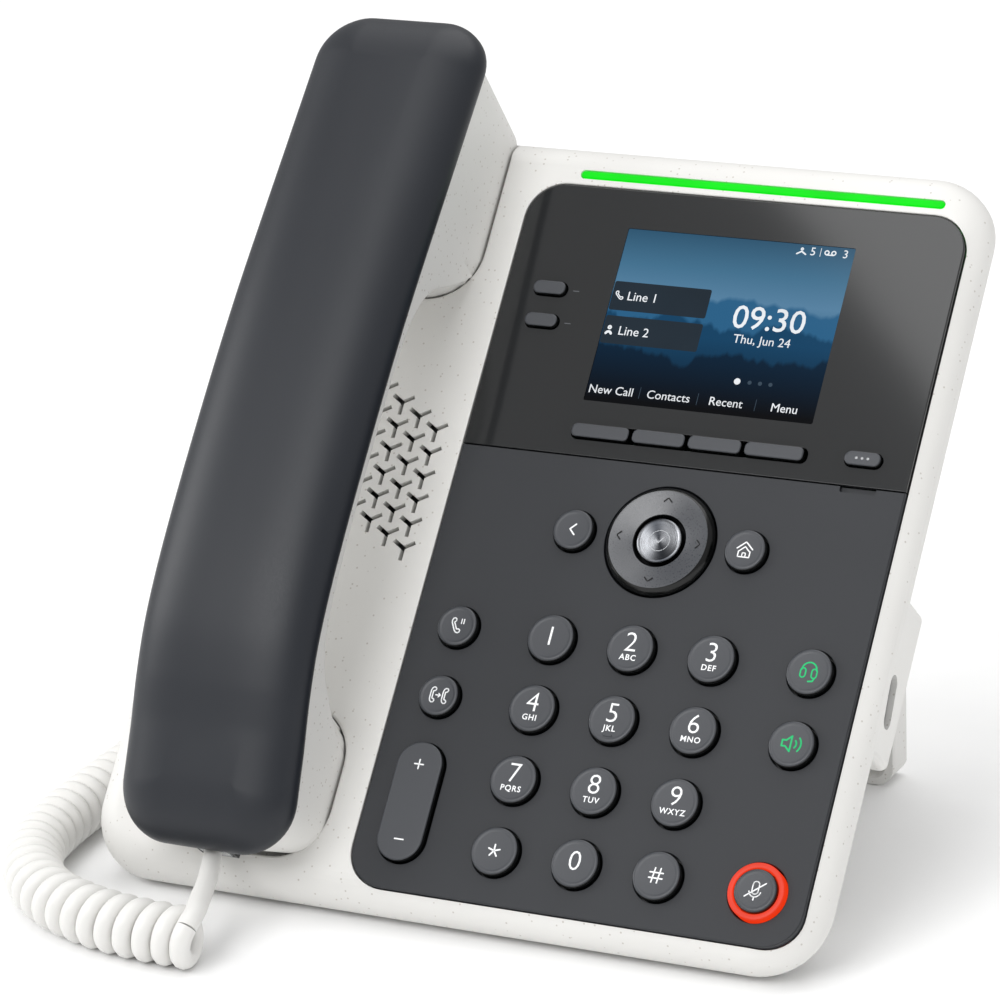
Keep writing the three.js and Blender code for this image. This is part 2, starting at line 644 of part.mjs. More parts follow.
addPiece(desk, "stand_leg", standLeg(), "shell");
addPiece(desk, "stand_hinge_pin", barAcross(-LEG.half - 4.5, LEG.half + 4.5, hinge, LEG.pin), "steel");
for (const [name, x] of [["foot_left", -52], ["foot_right", 52]]) {
  const pad = uprightSlab(centredRect(0, 0.6, 34, 1.2, 0.2), 22, 30, 1);
  addPiece(desk, name, pad, "rubber", x, 0, 0);
}

// ---------------------------------------------------------------- cord
// The coil lies on the desk: out in front, round the base's left side and back under the phone.
const COIL_ROUTE = [[-50.2, -36.6], [-59, -35.3], [-71.6, -32.9], [-85.2, -27.2], [-93.5, -20.5],
  [-100, -12], [-104.5, -3], [-107, 10], [-108, 25], [-108.3, 40], [-108.5, 60], [-108.5, 80],
  [-104, 95], [-92, 103], [-80, 97], [-76.5, 84], [-76, 70], [-70, 60.5], [-60, 57]];
const coilRoute = COIL_ROUTE.map(([x, y]) => vec(x, y, CORD.coil / 2));
addPiece(desk, "cord_coil", tube(coilRoute, CORD.coil, CORD.sides, 40), "cord");

const PLUG = { width: 7.4, height: 6, length: 9.8 };
/** A modular plug lying along the slope, its cord end at the low end. */
function plugAt(x, low, height) {
  const { width, height: thick, length } = PLUG;
  return box(x - width / 2, x + width / 2, low, low + length, height - thick / 2, height + thick / 2);
}

const handsetPlugLow = 4.8;
addPiece(face, "handset_plug", plugAt(SOCKET.x, handsetPlugLow, SOCKET.height), "clear");
const tailRoute = [
  upright(SOCKET.x, handsetPlugLow - GAP, SOCKET.height),
  upright(SOCKET.x + 0.2, -1.5, SOCKET.height - 0.2),
  vec(-50.6, -20.5, 11.5),
  vec(-48.4, -26, 11.4),
  vec(-46.8, -32, 11.6),
  vec(-46.6, -37, 11.4),
];
addPiece(desk, "cord_tail", tube(tailRoute, CORD.wire, 8, 9), "cord");

const handsetJack = JACKS[0];
const jackMiddle = JACK.top - handsetJack.height / 2;
const basePlugLow = JACK.from - 2;
addPiece(face, "base_plug", plugAt(handsetJack.x, basePlugLow, jackMiddle), "clear");
const leadRoute = [
  vec(-59.2, 57, CORD.coil / 2),
  vec(-54, 56, 8),
  vec(-48, 54, 12),
  vec(-44, 52.5, 18),
  upright(handsetJack.x - 0.3, 52, -31),
  upright(handsetJack.x, 66, -25),
  upright(handsetJack.x, 84, jackMiddle),
  upright(handsetJack.x, basePlugLow - GAP, jackMiddle),
];
addPiece(desk, "cord_base_lead", tube(leadRoute, CORD.wire, 8, 14), "cord");

export default phone;
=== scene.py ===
"""Desk telephone with a leaning face, colour display, handset and coiled cord.

Most pieces are drawn in the face's own frame, in millimetres: x across, y up the slope from the front
edge, z out of the face (0 on the face). The rest are drawn upright on the desk, also in millimetres.
"""

import logging
import math
from dataclasses import dataclass
from enum import Enum
from typing import Callable, Sequence

import bmesh
import bpy
from bmesh.types import BMesh
from mathutils import Matrix, Vector


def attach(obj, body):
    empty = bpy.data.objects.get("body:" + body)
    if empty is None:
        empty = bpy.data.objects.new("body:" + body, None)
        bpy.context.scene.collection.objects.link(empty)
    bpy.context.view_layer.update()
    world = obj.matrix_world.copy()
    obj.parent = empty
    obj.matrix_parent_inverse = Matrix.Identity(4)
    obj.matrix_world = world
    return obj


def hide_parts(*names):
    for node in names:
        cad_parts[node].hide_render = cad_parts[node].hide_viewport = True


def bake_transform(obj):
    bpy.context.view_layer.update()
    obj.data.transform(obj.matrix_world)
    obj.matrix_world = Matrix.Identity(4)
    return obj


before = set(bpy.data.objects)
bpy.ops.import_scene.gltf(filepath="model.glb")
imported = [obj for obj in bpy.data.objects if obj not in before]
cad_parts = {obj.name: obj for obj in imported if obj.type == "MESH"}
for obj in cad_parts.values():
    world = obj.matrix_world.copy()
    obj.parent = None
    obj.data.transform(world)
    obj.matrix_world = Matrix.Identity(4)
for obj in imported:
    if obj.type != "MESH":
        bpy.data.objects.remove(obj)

LOG = logging.getLogger("desk_phone")
MM = 0.001
Height = float | Callable[[float, float], float]
Steps = Sequence[tuple[float, float]]

# The face frame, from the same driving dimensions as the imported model.
TILT = math.radians(50)
EDGE_ROUND = 8.0
EDGE_LIFT = 0.63
CENTRE_Y = -55.3
FACE_Y = CENTRE_Y - EDGE_ROUND * math.sin(TILT)
FACE_Z = EDGE_LIFT + EDGE_ROUND * (1 - math.sin(TILT) + math.cos(TILT))
UPRIGHT = Matrix.Scale(MM, 4)
FACE = UPRIGHT @ Matrix.Translation((0, FACE_Y, FACE_Z)) @ Matrix.Rotation(TILT, 4, "X")
# From a frame that looks up the slope to the face frame.
UP_SLOPE = Matrix(((1, 0, 0, 0), (0, 0, 1, 0), (0, -1, 0, 0), (0, 0, 0, 1)))

# Places that several sub-assemblies share: the dark panel's middle and its seam, the navigation ring,
# the handset's socket, and the leg's hinge, upright on the desk.
PANEL_MIDDLE = 32.8
PANEL_HALF = 55.5
NAV_Y = 95.3
HANDSET_SOCKET_X = -52.3
FOLD_Y = 68.4
FOLD_Z = 104.0

# How thick printed ink stands, and how wide a welded line may be.
PRINT_THICK = 0.03
PINCH = 0.02


# ------------------------------------------------------------------------------------- mesh helpers
@dataclass(frozen=True)
class Plan:
    """A rectangle with round corners, drawn flat, in millimetres."""

    left: float
    right: float
    low: float
    high: float
    radius: float
    corner_steps: int = 8
    stations: tuple[float, ...] = ()

    @staticmethod
    def about(x: float, y: float, width: float, length: float, radius: float, steps: int = 8) -> "Plan":
        """A plan given by its centre and its two sizes."""
        return Plan(x - width / 2, x + width / 2, y - length / 2, y + length / 2, radius, steps)

    def ring(self, inset: float, height: Height) -> list[Vector]:
        """Points of the outline drawn in by an inset.

        Args:
            inset: how far the outline is drawn in, or out where it is negative.
            height: the level of the points, or a function of x and y that gives it.

        Returns:
            The points, anticlockwise, always as many for one plan.
        """
        radius = max(self.radius - inset, 0.02)
        right, left = self.right - inset - radius, self.left + inset + radius
        high, low = self.high - inset - radius, self.low + inset + radius
        corners = [(right, low, -90), (right, high, 0), (left, high, 90), (left, low, 180)]
        flat: list[tuple[float, float]] = []
        for index, (x, y, start) in enumerate(corners):
            for step in range(self.corner_steps + 1):
                turn = math.radians(start + 90 * step / self.corner_steps)
                flat.append((x + radius * math.cos(turn), y + radius * math.sin(turn)))
            if index == 0:
                flat += [(right + radius, at) for at in self.stations]
            if index == 2:
                flat += [(left - radius, at) for at in reversed(self.stations)]
        level = height if callable(height) else lambda x, y: height
        return [Vector((x, y, level(x, y))) for x, y in flat]


def grow(rings: Sequence[Sequence[Vector]], pinch: bool = False) -> BMesh:
    """A closed body grown from ring to ring, by extruding the cap of each and moving it to the next.

    Args:
        rings: the outlines, each with as many points.
        pinch: whether the first and the last ring close to a line, which is then welded.

    Returns:
        The body.
    """
    bm = bmesh.new()
    order = [bm.verts.new(point) for point in rings[0]]
    cap = bm.faces.new(order)
    for ring in rings[1:]:
        first = order[0].co.copy()
        cap = bmesh.ops.extrude_discrete_faces(bm, faces=[cap])["faces"][0]
        verts = list(cap.verts)
        shift = min(range(len(verts)), key=lambda i: (verts[i].co - first).length_squared)
        order = verts[shift:] + verts[:shift]
        for vert, point in zip(order, ring):
            vert.co = point
    if pinch:
        bmesh.ops.delete(bm, geom=[cap], context="FACES_ONLY")
        bmesh.ops.remove_doubles(bm, verts=bm.verts, dist=2.5 * PINCH)
    else:
        bmesh.ops.holes_fill(bm, edges=[edge for edge in bm.edges if edge.is_boundary], sides=0)
    bmesh.ops.recalc_face_normals(bm, faces=bm.faces)
    return bm


def slab(plan: Plan, steps: Steps) -> BMesh:
    """A body on one plan, given by (inset, height) steps from its bottom cap to its top cap."""
    return grow([plan.ring(inset, height) for inset, height in steps])


def rounded(low: float, high: float, radius: float, arc: int = 4, under: float = 0.0) -> Steps:
    """Steps of a slab with a round top edge and, where under is given, a round bottom edge.

    Args:
        low: the level of the bottom.
        high: the level of the top.
        radius: the top edge's radius.
        arc: how many steps each round edge takes.
        under: the bottom edge's radius, or 0 for a square edge.

    Returns:
        The steps, as (inset, height).
    """
    steps = [(0.0, low)]
    if under:
        turns = [math.pi / 2 * i / arc for i in range(arc + 1)]
        steps = [(under * (1 - math.sin(turn)), low + under * (1 - math.cos(turn))) for turn in turns]
    for i in range(arc + 1):
        turn = math.pi / 2 * i / arc
        steps.append((radius * (1 - math.cos(turn)), high - radius * (1 - math.sin(turn))))
    return steps


def flare(depth: float, lip: float, rise: float = 3.0, arc: int = 3) -> Steps:
    """Steps of a cutter that leaves a round lip where a hole meets the face.

    Args:
        depth: how deep the cutter reaches.
        lip: the lip's radius.
        rise: how far the cutter stands out of the face.
        arc: how many steps the lip takes.

    Returns:
        The steps, as (inset, height).
    """
    steps = [(0.0, -depth)]
    for i in range(arc + 1):
        turn = math.pi / 2 * i / arc
        steps.append((-lip * (1 - math.cos(turn)), -lip * (1 - math.sin(turn))))
    return [*steps, (-lip, rise)]


def turned(profile: Sequence[tuple[float, float]], steps: int = 48) -> BMesh:
    """A body of revolution about z, from (radius, height) points that end on the axis or close.

    Args:
        profile: the (radius, height) points, in order.
        steps: how many steps go round.

    Returns:
        The body.
    """
    bm = bmesh.new()
    verts = [bm.verts.new((radius, 0, height)) for radius, height in profile]
    edges = [bm.edges.new(pair) for pair in zip(verts, verts[1:])]
    if profile[0][0] > 0:
        edges.append(bm.edges.new((verts[-1], verts[0])))
    bmesh.ops.spin(
        bm, geom=verts + edges, cent=(0, 0, 0), axis=(0, 0, 1), dvec=(0, 0, 0),
        angle=2 * math.pi, steps=steps, use_merge=True,
    )
    bmesh.ops.remove_doubles(bm, verts=bm.verts, dist=1e-4)
    bmesh.ops.dissolve_degenerate(bm, edges=bm.edges, dist=1e-4)
    bmesh.ops.recalc_face_normals(bm, faces=bm.faces)
    return bm


def moved(bm: BMesh, x: float = 0.0, y: float = 0.0, z: float = 0.0) -> BMesh:
    """The same body, shifted."""
    bmesh.ops.translate(bm, vec=(x, y, z), verts=bm.verts)
    return bm


def reshaped(bm: BMesh, matrix: Matrix) -> BMesh:
    """The same body, moved or turned by a matrix."""
    bmesh.ops.transform(bm, matrix=matrix, verts=bm.verts)
    return bm


def gathered(bodies: Sequence[BMesh]) -> BMesh:
    """Several separate bodies as one mesh.

    Args:
        bodies: the bodies, which are left as they are.

    Returns:
        The new mesh.
    """
    everything = bmesh.new()
    for body in bodies:
        mesh = bpy.data.meshes.new("part")
        body.to_mesh(mesh)
        everything.from_mesh(mesh)
        bpy.data.meshes.remove(mesh)
    return everything


class Cut(Enum):
    """What a boolean step does with its tool."""

    AWAY = "DIFFERENCE"
    JOIN = "UNION"


def carved(body: BMesh, tool: BMesh, how: Cut = Cut.AWAY) -> BMesh:
    """A body cut by or joined with a tool.

    Args:
        body: the closed body.
        tool: the closed tool, or several that don't touch each other.
        how: what the tool does.

    Returns:
        The new body.
    """
    objects = []
    for bm in (body, tool):
        mesh = bpy.data.meshes.new("carve")
        bm.to_mesh(mesh)
        carve = bpy.data.objects.new("carve", mesh)
        bpy.context.scene.collection.objects.link(carve)
        objects.append(carve)
    modifier = objects[0].modifiers.new("carve", "BOOLEAN")
    modifier.operation = how.value
    modifier.solver = "EXACT"
    modifier.object = objects[1]
    graph = bpy.context.evaluated_depsgraph_get()
    made = bpy.data.meshes.new_from_object(objects[0].evaluated_get(graph))
    result = bmesh.new()
    result.from_mesh(made)
    for carve in objects:
        bpy.data.meshes.remove(carve.data)
    bpy.data.meshes.remove(made)
    bmesh.ops.remove_doubles(result, verts=result.verts, dist=1e-3)
    bmesh.ops.dissolve_degenerate(result, edges=result.edges, dist=1e-3)
    return result


def smooth_line(points: Sequence[tuple[float, float]]) -> Callable[[float], float]:
    """A smooth height over a distance through (distance, height) points.

    Args:
        points: the points, with their distances in rising order.

    Returns:
        A function from a distance to a height.
    """

    def slope(i: int) -> float:
        """The slope at a point, from its two neighbours."""
        before, after = points[max(i - 1, 0)], points[min(i + 1, len(points) - 1)]
        return (after[1] - before[1]) / (after[0] - before[0])

    def height(at: float) -> float:
        """The height at a distance, held level past either end."""
        at = min(max(at, points[0][0]), points[-1][0])
        i = max(j for j in range(len(points) - 1) if points[j][0] <= at)
        (a, low), (b, high) = points[i], points[i + 1]
        span = b - a
        t = (at - a) / span
        return (
            (1 + 2 * t) * (1 - t) ** 2 * low
            + t * (1 - t) ** 2 * span * slope(i)
            + t * t * (3 - 2 * t) * high
            + t * t * (t - 1) * span * slope(i + 1)
        )

    return height


def piece(
    name: str,
    bm: BMesh,
    finishes: Sequence["Finish"],
    place: Matrix = FACE,
    sharp: float = 32.0,
    even: bool = True,
) -> bpy.types.Object:
    """A finished object at the origin, with its place in its mesh.

    Args:
        name: the piece's name.
        bm: its mesh, which is freed.
        finishes: its finishes, in the order of its faces' material indices.
        place: the matrix from the frame it was drawn in to the phone's frame.
        sharp: edges that bend more than this many degrees stay crisp.
        even: whether large flat faces keep their shading flat beside round edges.

    Returns:
        The object.
    """
    for face in bm.faces:
        face.smooth = True
    limit = math.radians(sharp)
    for edge in bm.edges:
        edge.smooth = edge.is_manifold and edge.calc_face_angle(0.0) < limit
    bmesh.ops.transform(bm, matrix=place, verts=bm.verts)
    mesh = bpy.data.meshes.new(name)
    bm.to_mesh(mesh)
    bm.free()
    for finish in finishes:
        mesh.materials.append(finish.material())
    made = bpy.data.objects.new(name, mesh)
    bpy.context.scene.collection.objects.link(made)
    if even:
        weighted = made.modifiers.new("flat_faces", "WEIGHTED_NORMAL")
        weighted.keep_sharp = True
        weighted.weight = 90
    return made


def fitted(made: bpy.types.Object, body: str, slot: str, *nodes: str) -> bpy.types.Object:
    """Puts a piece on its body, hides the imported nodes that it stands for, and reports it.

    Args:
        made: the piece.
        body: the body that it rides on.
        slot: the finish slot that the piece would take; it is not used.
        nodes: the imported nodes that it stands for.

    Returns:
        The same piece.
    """
    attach(made, body)
    if nodes:
        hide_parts(*nodes)
    LOG.info("%s rides on %s", made.name, body)
    return made


def letters(
    text: str,
    size: float,
    x: float,
    y: float,
    bold: float = 0.0,
    align: str = "CENTER",
    spread: float = 1.0,
) -> BMesh:
    """Plain lettering, centred on a place, standing a little above z = 0.

    Args:
        text: what it says.
        size: the height of the font, in millimetres.
        x: the middle, across.
        y: the middle, up the slope.
        bold: how far the strokes are widened.
        align: which part of the text lies at x.
        spread: how far apart the letters stand, as a share of the font's own spacing.

    Returns:
        The lettering as closed bodies.
    """
    curve = bpy.data.curves.new("letters", "FONT")
    curve.body = text
    curve.size = size
    curve.align_x = align
    curve.align_y = "CENTER"
    curve.extrude = PRINT_THICK / 2
    curve.offset = bold
    curve.space_character = spread
    curve.resolution_u = 3
    carrier = bpy.data.objects.new("letters", curve)
    bpy.context.scene.collection.objects.link(carrier)
    graph = bpy.context.evaluated_depsgraph_get()
    mesh = bpy.data.meshes.new_from_object(carrier.evaluated_get(graph))
    bm = bmesh.new()
    bm.from_mesh(mesh)
    bpy.data.meshes.remove(mesh)
    bpy.data.curves.remove(curve)
    return moved(bm, x, y, PRINT_THICK / 2)


def stroke(points: Sequence[tuple[float, float]], width: float) -> BMesh:
    """A pen stroke with round ends along flat points, a little above z = 0.

    Args:
        points: the points, in order.
        width: how wide the pen is.

    Returns:
        The stroke, as one closed body per straight stretch.
    """
    bars = []
    for (ax, ay), (bx, by) in zip(points, points[1:]):
        length = math.hypot(bx - ax, by - ay)
        outline = Plan.about(0, 0, length + width, width, width / 2, 4)
        bar = slab(outline, [(0, 0), (0, PRINT_THICK)])
        turn = Matrix.Rotation(math.atan2(by - ay, bx - ax), 4, "Z")
        bars.append(reshaped(bar, Matrix.Translation(((ax + bx) / 2, (ay + by) / 2, 0)) @ turn))
    return gathered(bars)


def arc(
    x: float, y: float, radius: float, start: float, end: float, steps: int = 10
) -> list[tuple[float, float]]:
    """Points of an arc, its angles in degrees."""
    turns = [math.radians(start + (end - start) * i / steps) for i in range(steps + 1)]
    return [(x + radius * math.cos(turn), y + radius * math.sin(turn)) for turn in turns]


# ------------------------------------------------------------------------------------- finishes
def linear(code: str, alpha: float = 1.0) -> tuple[float, float, float, float]:
    """An sRGB hex colour as the linear one that a shader takes.

    Args:
        code: the six hex digits.
        alpha: the fourth value.

    Returns:
        Red, green, blue and alpha.
    """
    parts = [int(code[i : i + 2], 16) / 255 for i in (0, 2, 4)]
    made = [c / 12.92 if c <= 0.04045 else ((c + 0.055) / 1.055) ** 2.4 for c in parts]
    return (*made, alpha)


def add(
    tree: bpy.types.NodeTree, kind: str, settings: dict | None = None, links: dict | None = None
) -> bpy.types.Node:
    """Adds a node.

    Args:
        tree: the material's tree.
        kind: the node's type.
        settings: attributes by name, and input values by socket name or number.
        links: output sockets by the input's name or number.

    Returns:
        The node.
    """
    node = tree.nodes.new(kind)
    for key, value in (settings or {}).items():
        if isinstance(key, str) and hasattr(node, key):
            setattr(node, key, value)
        else:
            node.inputs[key].default_value = value
    for key, output in (links or {}).items():
        tree.links.new(output, node.inputs[key])
    return node


_MADE: dict["Finish", bpy.types.Material] = {}


@dataclass(frozen=True)
class Finish:
    """Any surface: its name, colour and shader numbers, before its own pattern is drawn."""

    name: str
    colour: str
    roughness: float = 0.5
    metallic: float = 0.0
    ior: float = 1.5
    gloss: float = 0.5

    def material(self) -> bpy.types.Material:
        """The finish's material, made once.

        Returns:
            The material.
        """
        if self not in _MADE:
            made = bpy.data.materials.new(self.name)
            made.use_nodes = True
            tree = made.node_tree
            shader = tree.nodes["Principled BSDF"]
            shader.inputs["Base Color"].default_value = linear(self.colour)
            shader.inputs["Roughness"].default_value = self.roughness
            shader.inputs["Metallic"].default_value = self.metallic
            shader.inputs["IOR"].default_value = self.ior
            shader.inputs["Specular IOR Level"].default_value = self.gloss
            self.pattern(tree, shader)
            _MADE[self] = made
        return _MADE[self]

    def pattern(self, tree: bpy.types.NodeTree, shader: bpy.types.Node) -> None:
        """Draws the finish's own pattern. A plain finish has none."""

    def noise(self, tree: bpy.types.NodeTree, grain_mm: float, detail: float = 2.0) -> bpy.types.NodeSocket:
        """Noise whose features are about so many millimetres across.

        Args:
            tree: the material's tree.
            grain_mm: the size of a feature.
            detail: how many finer layers it has.

        Returns:
            The socket with the noise, from 0 to 1.
        """
        place = add(tree, "ShaderNodeTexCoord")
        settings = {"Scale": 1 / (grain_mm * MM), "Detail": detail}
        return add(tree, "ShaderNodeTexNoise", settings, {"Vector": place.outputs["Object"]}).outputs[0]

    def face_place(self, tree: bpy.types.NodeTree) -> bpy.types.NodeSocket:
        """Object coordinates turned into the face frame, in millimetres.

        Args:
            tree: the material's tree.

        Returns:
            The socket with the place.
        """
        place = add(tree, "ShaderNodeTexCoord")
        back = FACE.inverted()
        settings = {"Location": back.translation, "Rotation": (-TILT, 0, 0), "Scale": (1 / MM,) * 3}
        return add(tree, "ShaderNodeMapping", settings, {"Vector": place.outputs["Object"]}).outputs[0]


@dataclass(frozen=True)
class Moulded(Finish):
    """Injection-moulded plastic: a fine spark-eroded grain that spreads the light, and faint unevenness."""

    grain_mm: float = 0.35
    bump_mm: float = 0.004
    shade: str = ""
    speck: str = ""
    speck_mm: float = 0.55
    speck_share: float = 0.3
    coat: float = 0.0

    def pattern(self, tree: bpy.types.NodeTree, shader: bpy.types.Node) -> None:
        """Draws the colour drift, the specks and the grain.

        Args:
            tree: the material's tree.
            shader: its shader.
        """
        shader.inputs["Coat Weight"].default_value = self.coat
        shader.inputs["Coat Roughness"].default_value = 0.12
        drift = self.noise(tree, 38.0, 3.0)
        spread = {"From Min": 0.3, "From Max": 0.7, "To Min": 0.0, "To Max": 1.0}
        drift = add(tree, "ShaderNodeMapRange", spread, {"Value": drift}).outputs[0]
        other = self.shade or self.colour
        mix = {"data_type": "RGBA", 6: linear(self.colour), 7: linear(other)}
        colour = add(tree, "ShaderNodeMix", mix, {0: drift}).outputs[2]
        if self.speck:
            colour = self.specks(tree, colour)
        tree.links.new(colour, shader.inputs["Base Color"])
        grain = self.noise(tree, self.grain_mm, 3.0)
        rough = {"From Min": 0.3, "From Max": 0.7}
        rough |= {"To Min": self.roughness - 0.05, "To Max": self.roughness + 0.05}
        rough_out = add(tree, "ShaderNodeMapRange", rough, {"Value": grain}).outputs[0]
        tree.links.new(rough_out, shader.inputs["Roughness"])
        height = {"Strength": 1.0, "Distance": self.bump_mm * MM}
        bump = add(tree, "ShaderNodeBump", height, {"Height": grain})
        tree.links.new(bump.outputs[0], shader.inputs["Normal"])

    def specks(self, tree: bpy.types.NodeTree, under: bpy.types.NodeSocket) -> bpy.types.NodeSocket:
        """Small scattered flecks of recycled resin over a colour.

        Args:
            tree: the material's tree.
            under: the colour that they lie on.

        Returns:
            The socket with the new colour.
        """
        place = add(tree, "ShaderNodeTexCoord").outputs["Object"]
        scale = {"Scale": 1 / (self.speck_mm * 3.2 * MM), "Randomness": 1.0}
        cells = add(tree, "ShaderNodeTexVoronoi", scale, {"Vector": place})
        near = {"From Min": 0.1, "From Max": 0.19, "To Min": 1.0, "To Max": 0.0}
        spot = add(tree, "ShaderNodeMapRange", near, {"Value": cells.outputs["Distance"]}).outputs[0]
        luck = add(tree, "ShaderNodeSeparateColor", {}, {"Color": cells.outputs["Color"]}).outputs[0]
        few = {"operation": "LESS_THAN", 1: self.speck_share}
        chosen = add(tree, "ShaderNodeMath", few, {0: luck}).outputs[0]
        share = add(tree, "ShaderNodeMath", {"operation": "MULTIPLY"}, {0: spot, 1: chosen}).outputs[0]
        faint = add(tree, "ShaderNodeMath", {"operation": "MULTIPLY", 1: 0.6}, {0: share}).outputs[0]
        mix = {"data_type": "RGBA", 7: linear(self.speck)}
        return add(tree, "ShaderNodeMix", mix, {0: faint, 6: under}).outputs[2]


@dataclass(frozen=True)
class Polished(Finish):
    """Polished acrylic or polycarbonate: sharp reflections with the slightest ripple."""

    clear: float = 0.0

    def pattern(self, tree: bpy.types.NodeTree, shader: bpy.types.Node) -> None:
        """Draws the ripple, and lets light through where the plastic is clear.

        Args:
            tree: the material's tree.
            shader: its shader.
        """
        shader.inputs["Transmission Weight"].default_value = self.clear
        ripple = self.noise(tree, 30.0, 1.0)
        bump = add(tree, "ShaderNodeBump", {"Strength": 0.3, "Distance": 0.02 * MM}, {"Height": ripple})
        tree.links.new(bump.outputs[0], shader.inputs["Normal"])


@dataclass(frozen=True)
class Lit(Finish):
    """Clear plastic lit from behind by a lamp: bright, a little brighter in the middle of each lamp."""

    power: float = 1.0

    def pattern(self, tree: bpy.types.NodeTree, shader: bpy.types.Node) -> None:
        """Draws the glow.

        Args:
            tree: the material's tree.
            shader: its shader.
        """
        glow = self.noise(tree, 9.0, 0.0)
        spread = {"From Min": 0.3, "From Max": 0.7}
        spread |= {"To Min": self.power * 0.93, "To Max": self.power * 1.05}
        power = add(tree, "ShaderNodeMapRange", spread, {"Value": glow}).outputs[0]
        shader.inputs["Base Color"].default_value = linear("101010")
        shader.inputs["Emission Color"].default_value = linear(self.colour)
        tree.links.new(power, shader.inputs["Emission Strength"])


@dataclass(frozen=True)
class Spun(Finish):
    """Aluminium faced on a lathe: fine rings about a centre, with the fans of light that they throw painted
    into its colour.
    """

    centre: tuple[float, float] = (0.0, 0.0)
    pitch_mm: float = 0.28

    def pattern(self, tree: bpy.types.NodeTree, shader: bpy.types.Node) -> None:
        """Draws the rings, coarser than the real ones so that they show, and paints two fans of highlight
        into the base colour.

        Args:
            tree: the material's tree.
            shader: its shader.
        """
        place = self.face_place(tree)
        shift = {"operation": "SUBTRACT", 1: (*self.centre, 0.0)}
        about = add(tree, "ShaderNodeVectorMath", shift, {0: place}).outputs[0]
        flat = {"operation": "MULTIPLY", 1: (1.0, 1.0, 0.0)}
        about = add(tree, "ShaderNodeVectorMath", flat, {0: about}).outputs[0]
        radius = add(tree, "ShaderNodeVectorMath", {"operation": "LENGTH"}, {0: about}).outputs["Value"]
        waves = {"noise_dimensions": "1D", "Scale": 1 / self.pitch_mm, "Detail": 2.0}
        rings = add(tree, "ShaderNodeTexNoise", waves, {"W": radius}).outputs[0]
        bump = add(tree, "ShaderNodeBump", {"Strength": 1.0, "Distance": 0.02 * MM}, {"Height": rings})
        tree.links.new(bump.outputs[0], shader.inputs["Normal"])
        # Two opposite fans of painted highlight in the base colour, where the rings would throw the light.
        parts = add(tree, "ShaderNodeSeparateXYZ", {}, {0: about})
        angle = {"operation": "ARCTAN2"}
        turn = add(tree, "ShaderNodeMath", angle, {0: parts.outputs[1], 1: parts.outputs[0]})
        twice = {"operation": "MULTIPLY_ADD", 1: 2.0, 2: 0.7}
        double = add(tree, "ShaderNodeMath", twice, {0: turn.outputs[0]}).outputs[0]
        fan = add(tree, "ShaderNodeMath", {"operation": "SINE"}, {0: double}).outputs[0]
        spread = {"From Min": -1.0, "From Max": 1.0, "To Min": 0.0, "To Max": 1.0}
        share = add(tree, "ShaderNodeMapRange", spread, {"Value": fan}).outputs[0]
        mix = {"data_type": "RGBA", 6: linear("34363A"), 7: linear("9B9DA1")}
        colour = add(tree, "ShaderNodeMix", mix, {0: share}).outputs[2]
        tree.links.new(colour, shader.inputs["Base Color"])


@dataclass(frozen=True)
class Wallpaper(Finish):
    """A lit colour display showing a blue dusk over ranges of hills."""

    left: float = 0.0
    low: float = 0.0
    width: float = 1.0
    height: float = 1.0
    # Each range, far to near: its level, how busy and how tall it is, its colour and where its noise starts.
    hills: tuple = (
        (0.66, 1.6, 0.2, "285F86", 1.3),
        (0.5, 2.2, 0.24, "0F4163", 4.1),
        (0.33, 2.8, 0.2, "03263F", 7.7),
    )

    def pattern(self, tree: bpy.types.NodeTree, shader: bpy.types.Node) -> None:
        """Draws the sky and three ranges, each darker than the one behind it.

        Args:
            tree: the material's tree.
            shader: its shader.
        """
        place = self.face_place(tree)
        settings = {
            "Location": (-self.left / self.width, -self.low / self.height, 0),
            "Scale": (1 / self.width, 1 / self.height, 0),
        }
        place = add(tree, "ShaderNodeMapping", settings, {"Vector": place}).outputs[0]
        parts = add(tree, "ShaderNodeSeparateXYZ", {}, {0: place})
        across, up = parts.outputs[0], parts.outputs[1]
        sky = add(tree, "ShaderNodeValToRGB", {}, {0: up})
        stops = [(0.0, "0A2036"), (0.45, "2C6488"), (0.64, "5580A0"), (0.8, "42708E"), (1.0, "2C546F")]
        ramp = sky.color_ramp.elements
        ramp[0].position, ramp[0].color = stops[0][0], linear(stops[0][1])
        ramp[1].position, ramp[1].color = stops[-1][0], linear(stops[-1][1])
        for position, code in stops[1:-1]:
            ramp.new(position).color = linear(code)
        colour = sky.outputs[0]
        for level, scale, size, code, start in self.hills:
            shift = {"operation": "ADD", 1: start}
            at = add(tree, "ShaderNodeMath", shift, {0: across}).outputs[0]
            waves = {"noise_dimensions": "1D", "Scale": scale, "Detail": 5.0, "Roughness": 0.55}
            ridge = add(tree, "ShaderNodeTexNoise", waves, {"W": at}).outputs[0]
            lift = {"operation": "MULTIPLY_ADD", 1: size * 2, 2: level - size}
            ridge = add(tree, "ShaderNodeMath", lift, {0: ridge}).outputs[0]
            gap = add(tree, "ShaderNodeMath", {"operation": "SUBTRACT"}, {0: ridge, 1: up}).outputs[0]
            soft = {"From Min": -0.006, "From Max": 0.02, "To Min": 0.0, "To Max": 1.0}
            share = add(tree, "ShaderNodeMapRange", soft, {"Value": gap}).outputs[0]
            mix = {"data_type": "RGBA", 7: linear(code)}
            colour = add(tree, "ShaderNodeMix", mix, {0: share, 6: colour}).outputs[2]
        dark = {"From Min": 0.02, "From Max": 0.42, "To Min": 0.0, "To Max": 1.0}
        share = add(tree, "ShaderNodeMapRange", dark, {"Value": up}).outputs[0]
        mix = {"data_type": "RGBA", 6: linear("020307")}
        colour = add(tree, "ShaderNodeMix", mix, {0: share, 7: colour}).outputs[2]
        shader.inputs["Base Color"].default_value = linear("020202")
        shader.inputs["Emission Strength"].default_value = 1.0
        tree.links.new(colour, shader.inputs["Emission Color"])


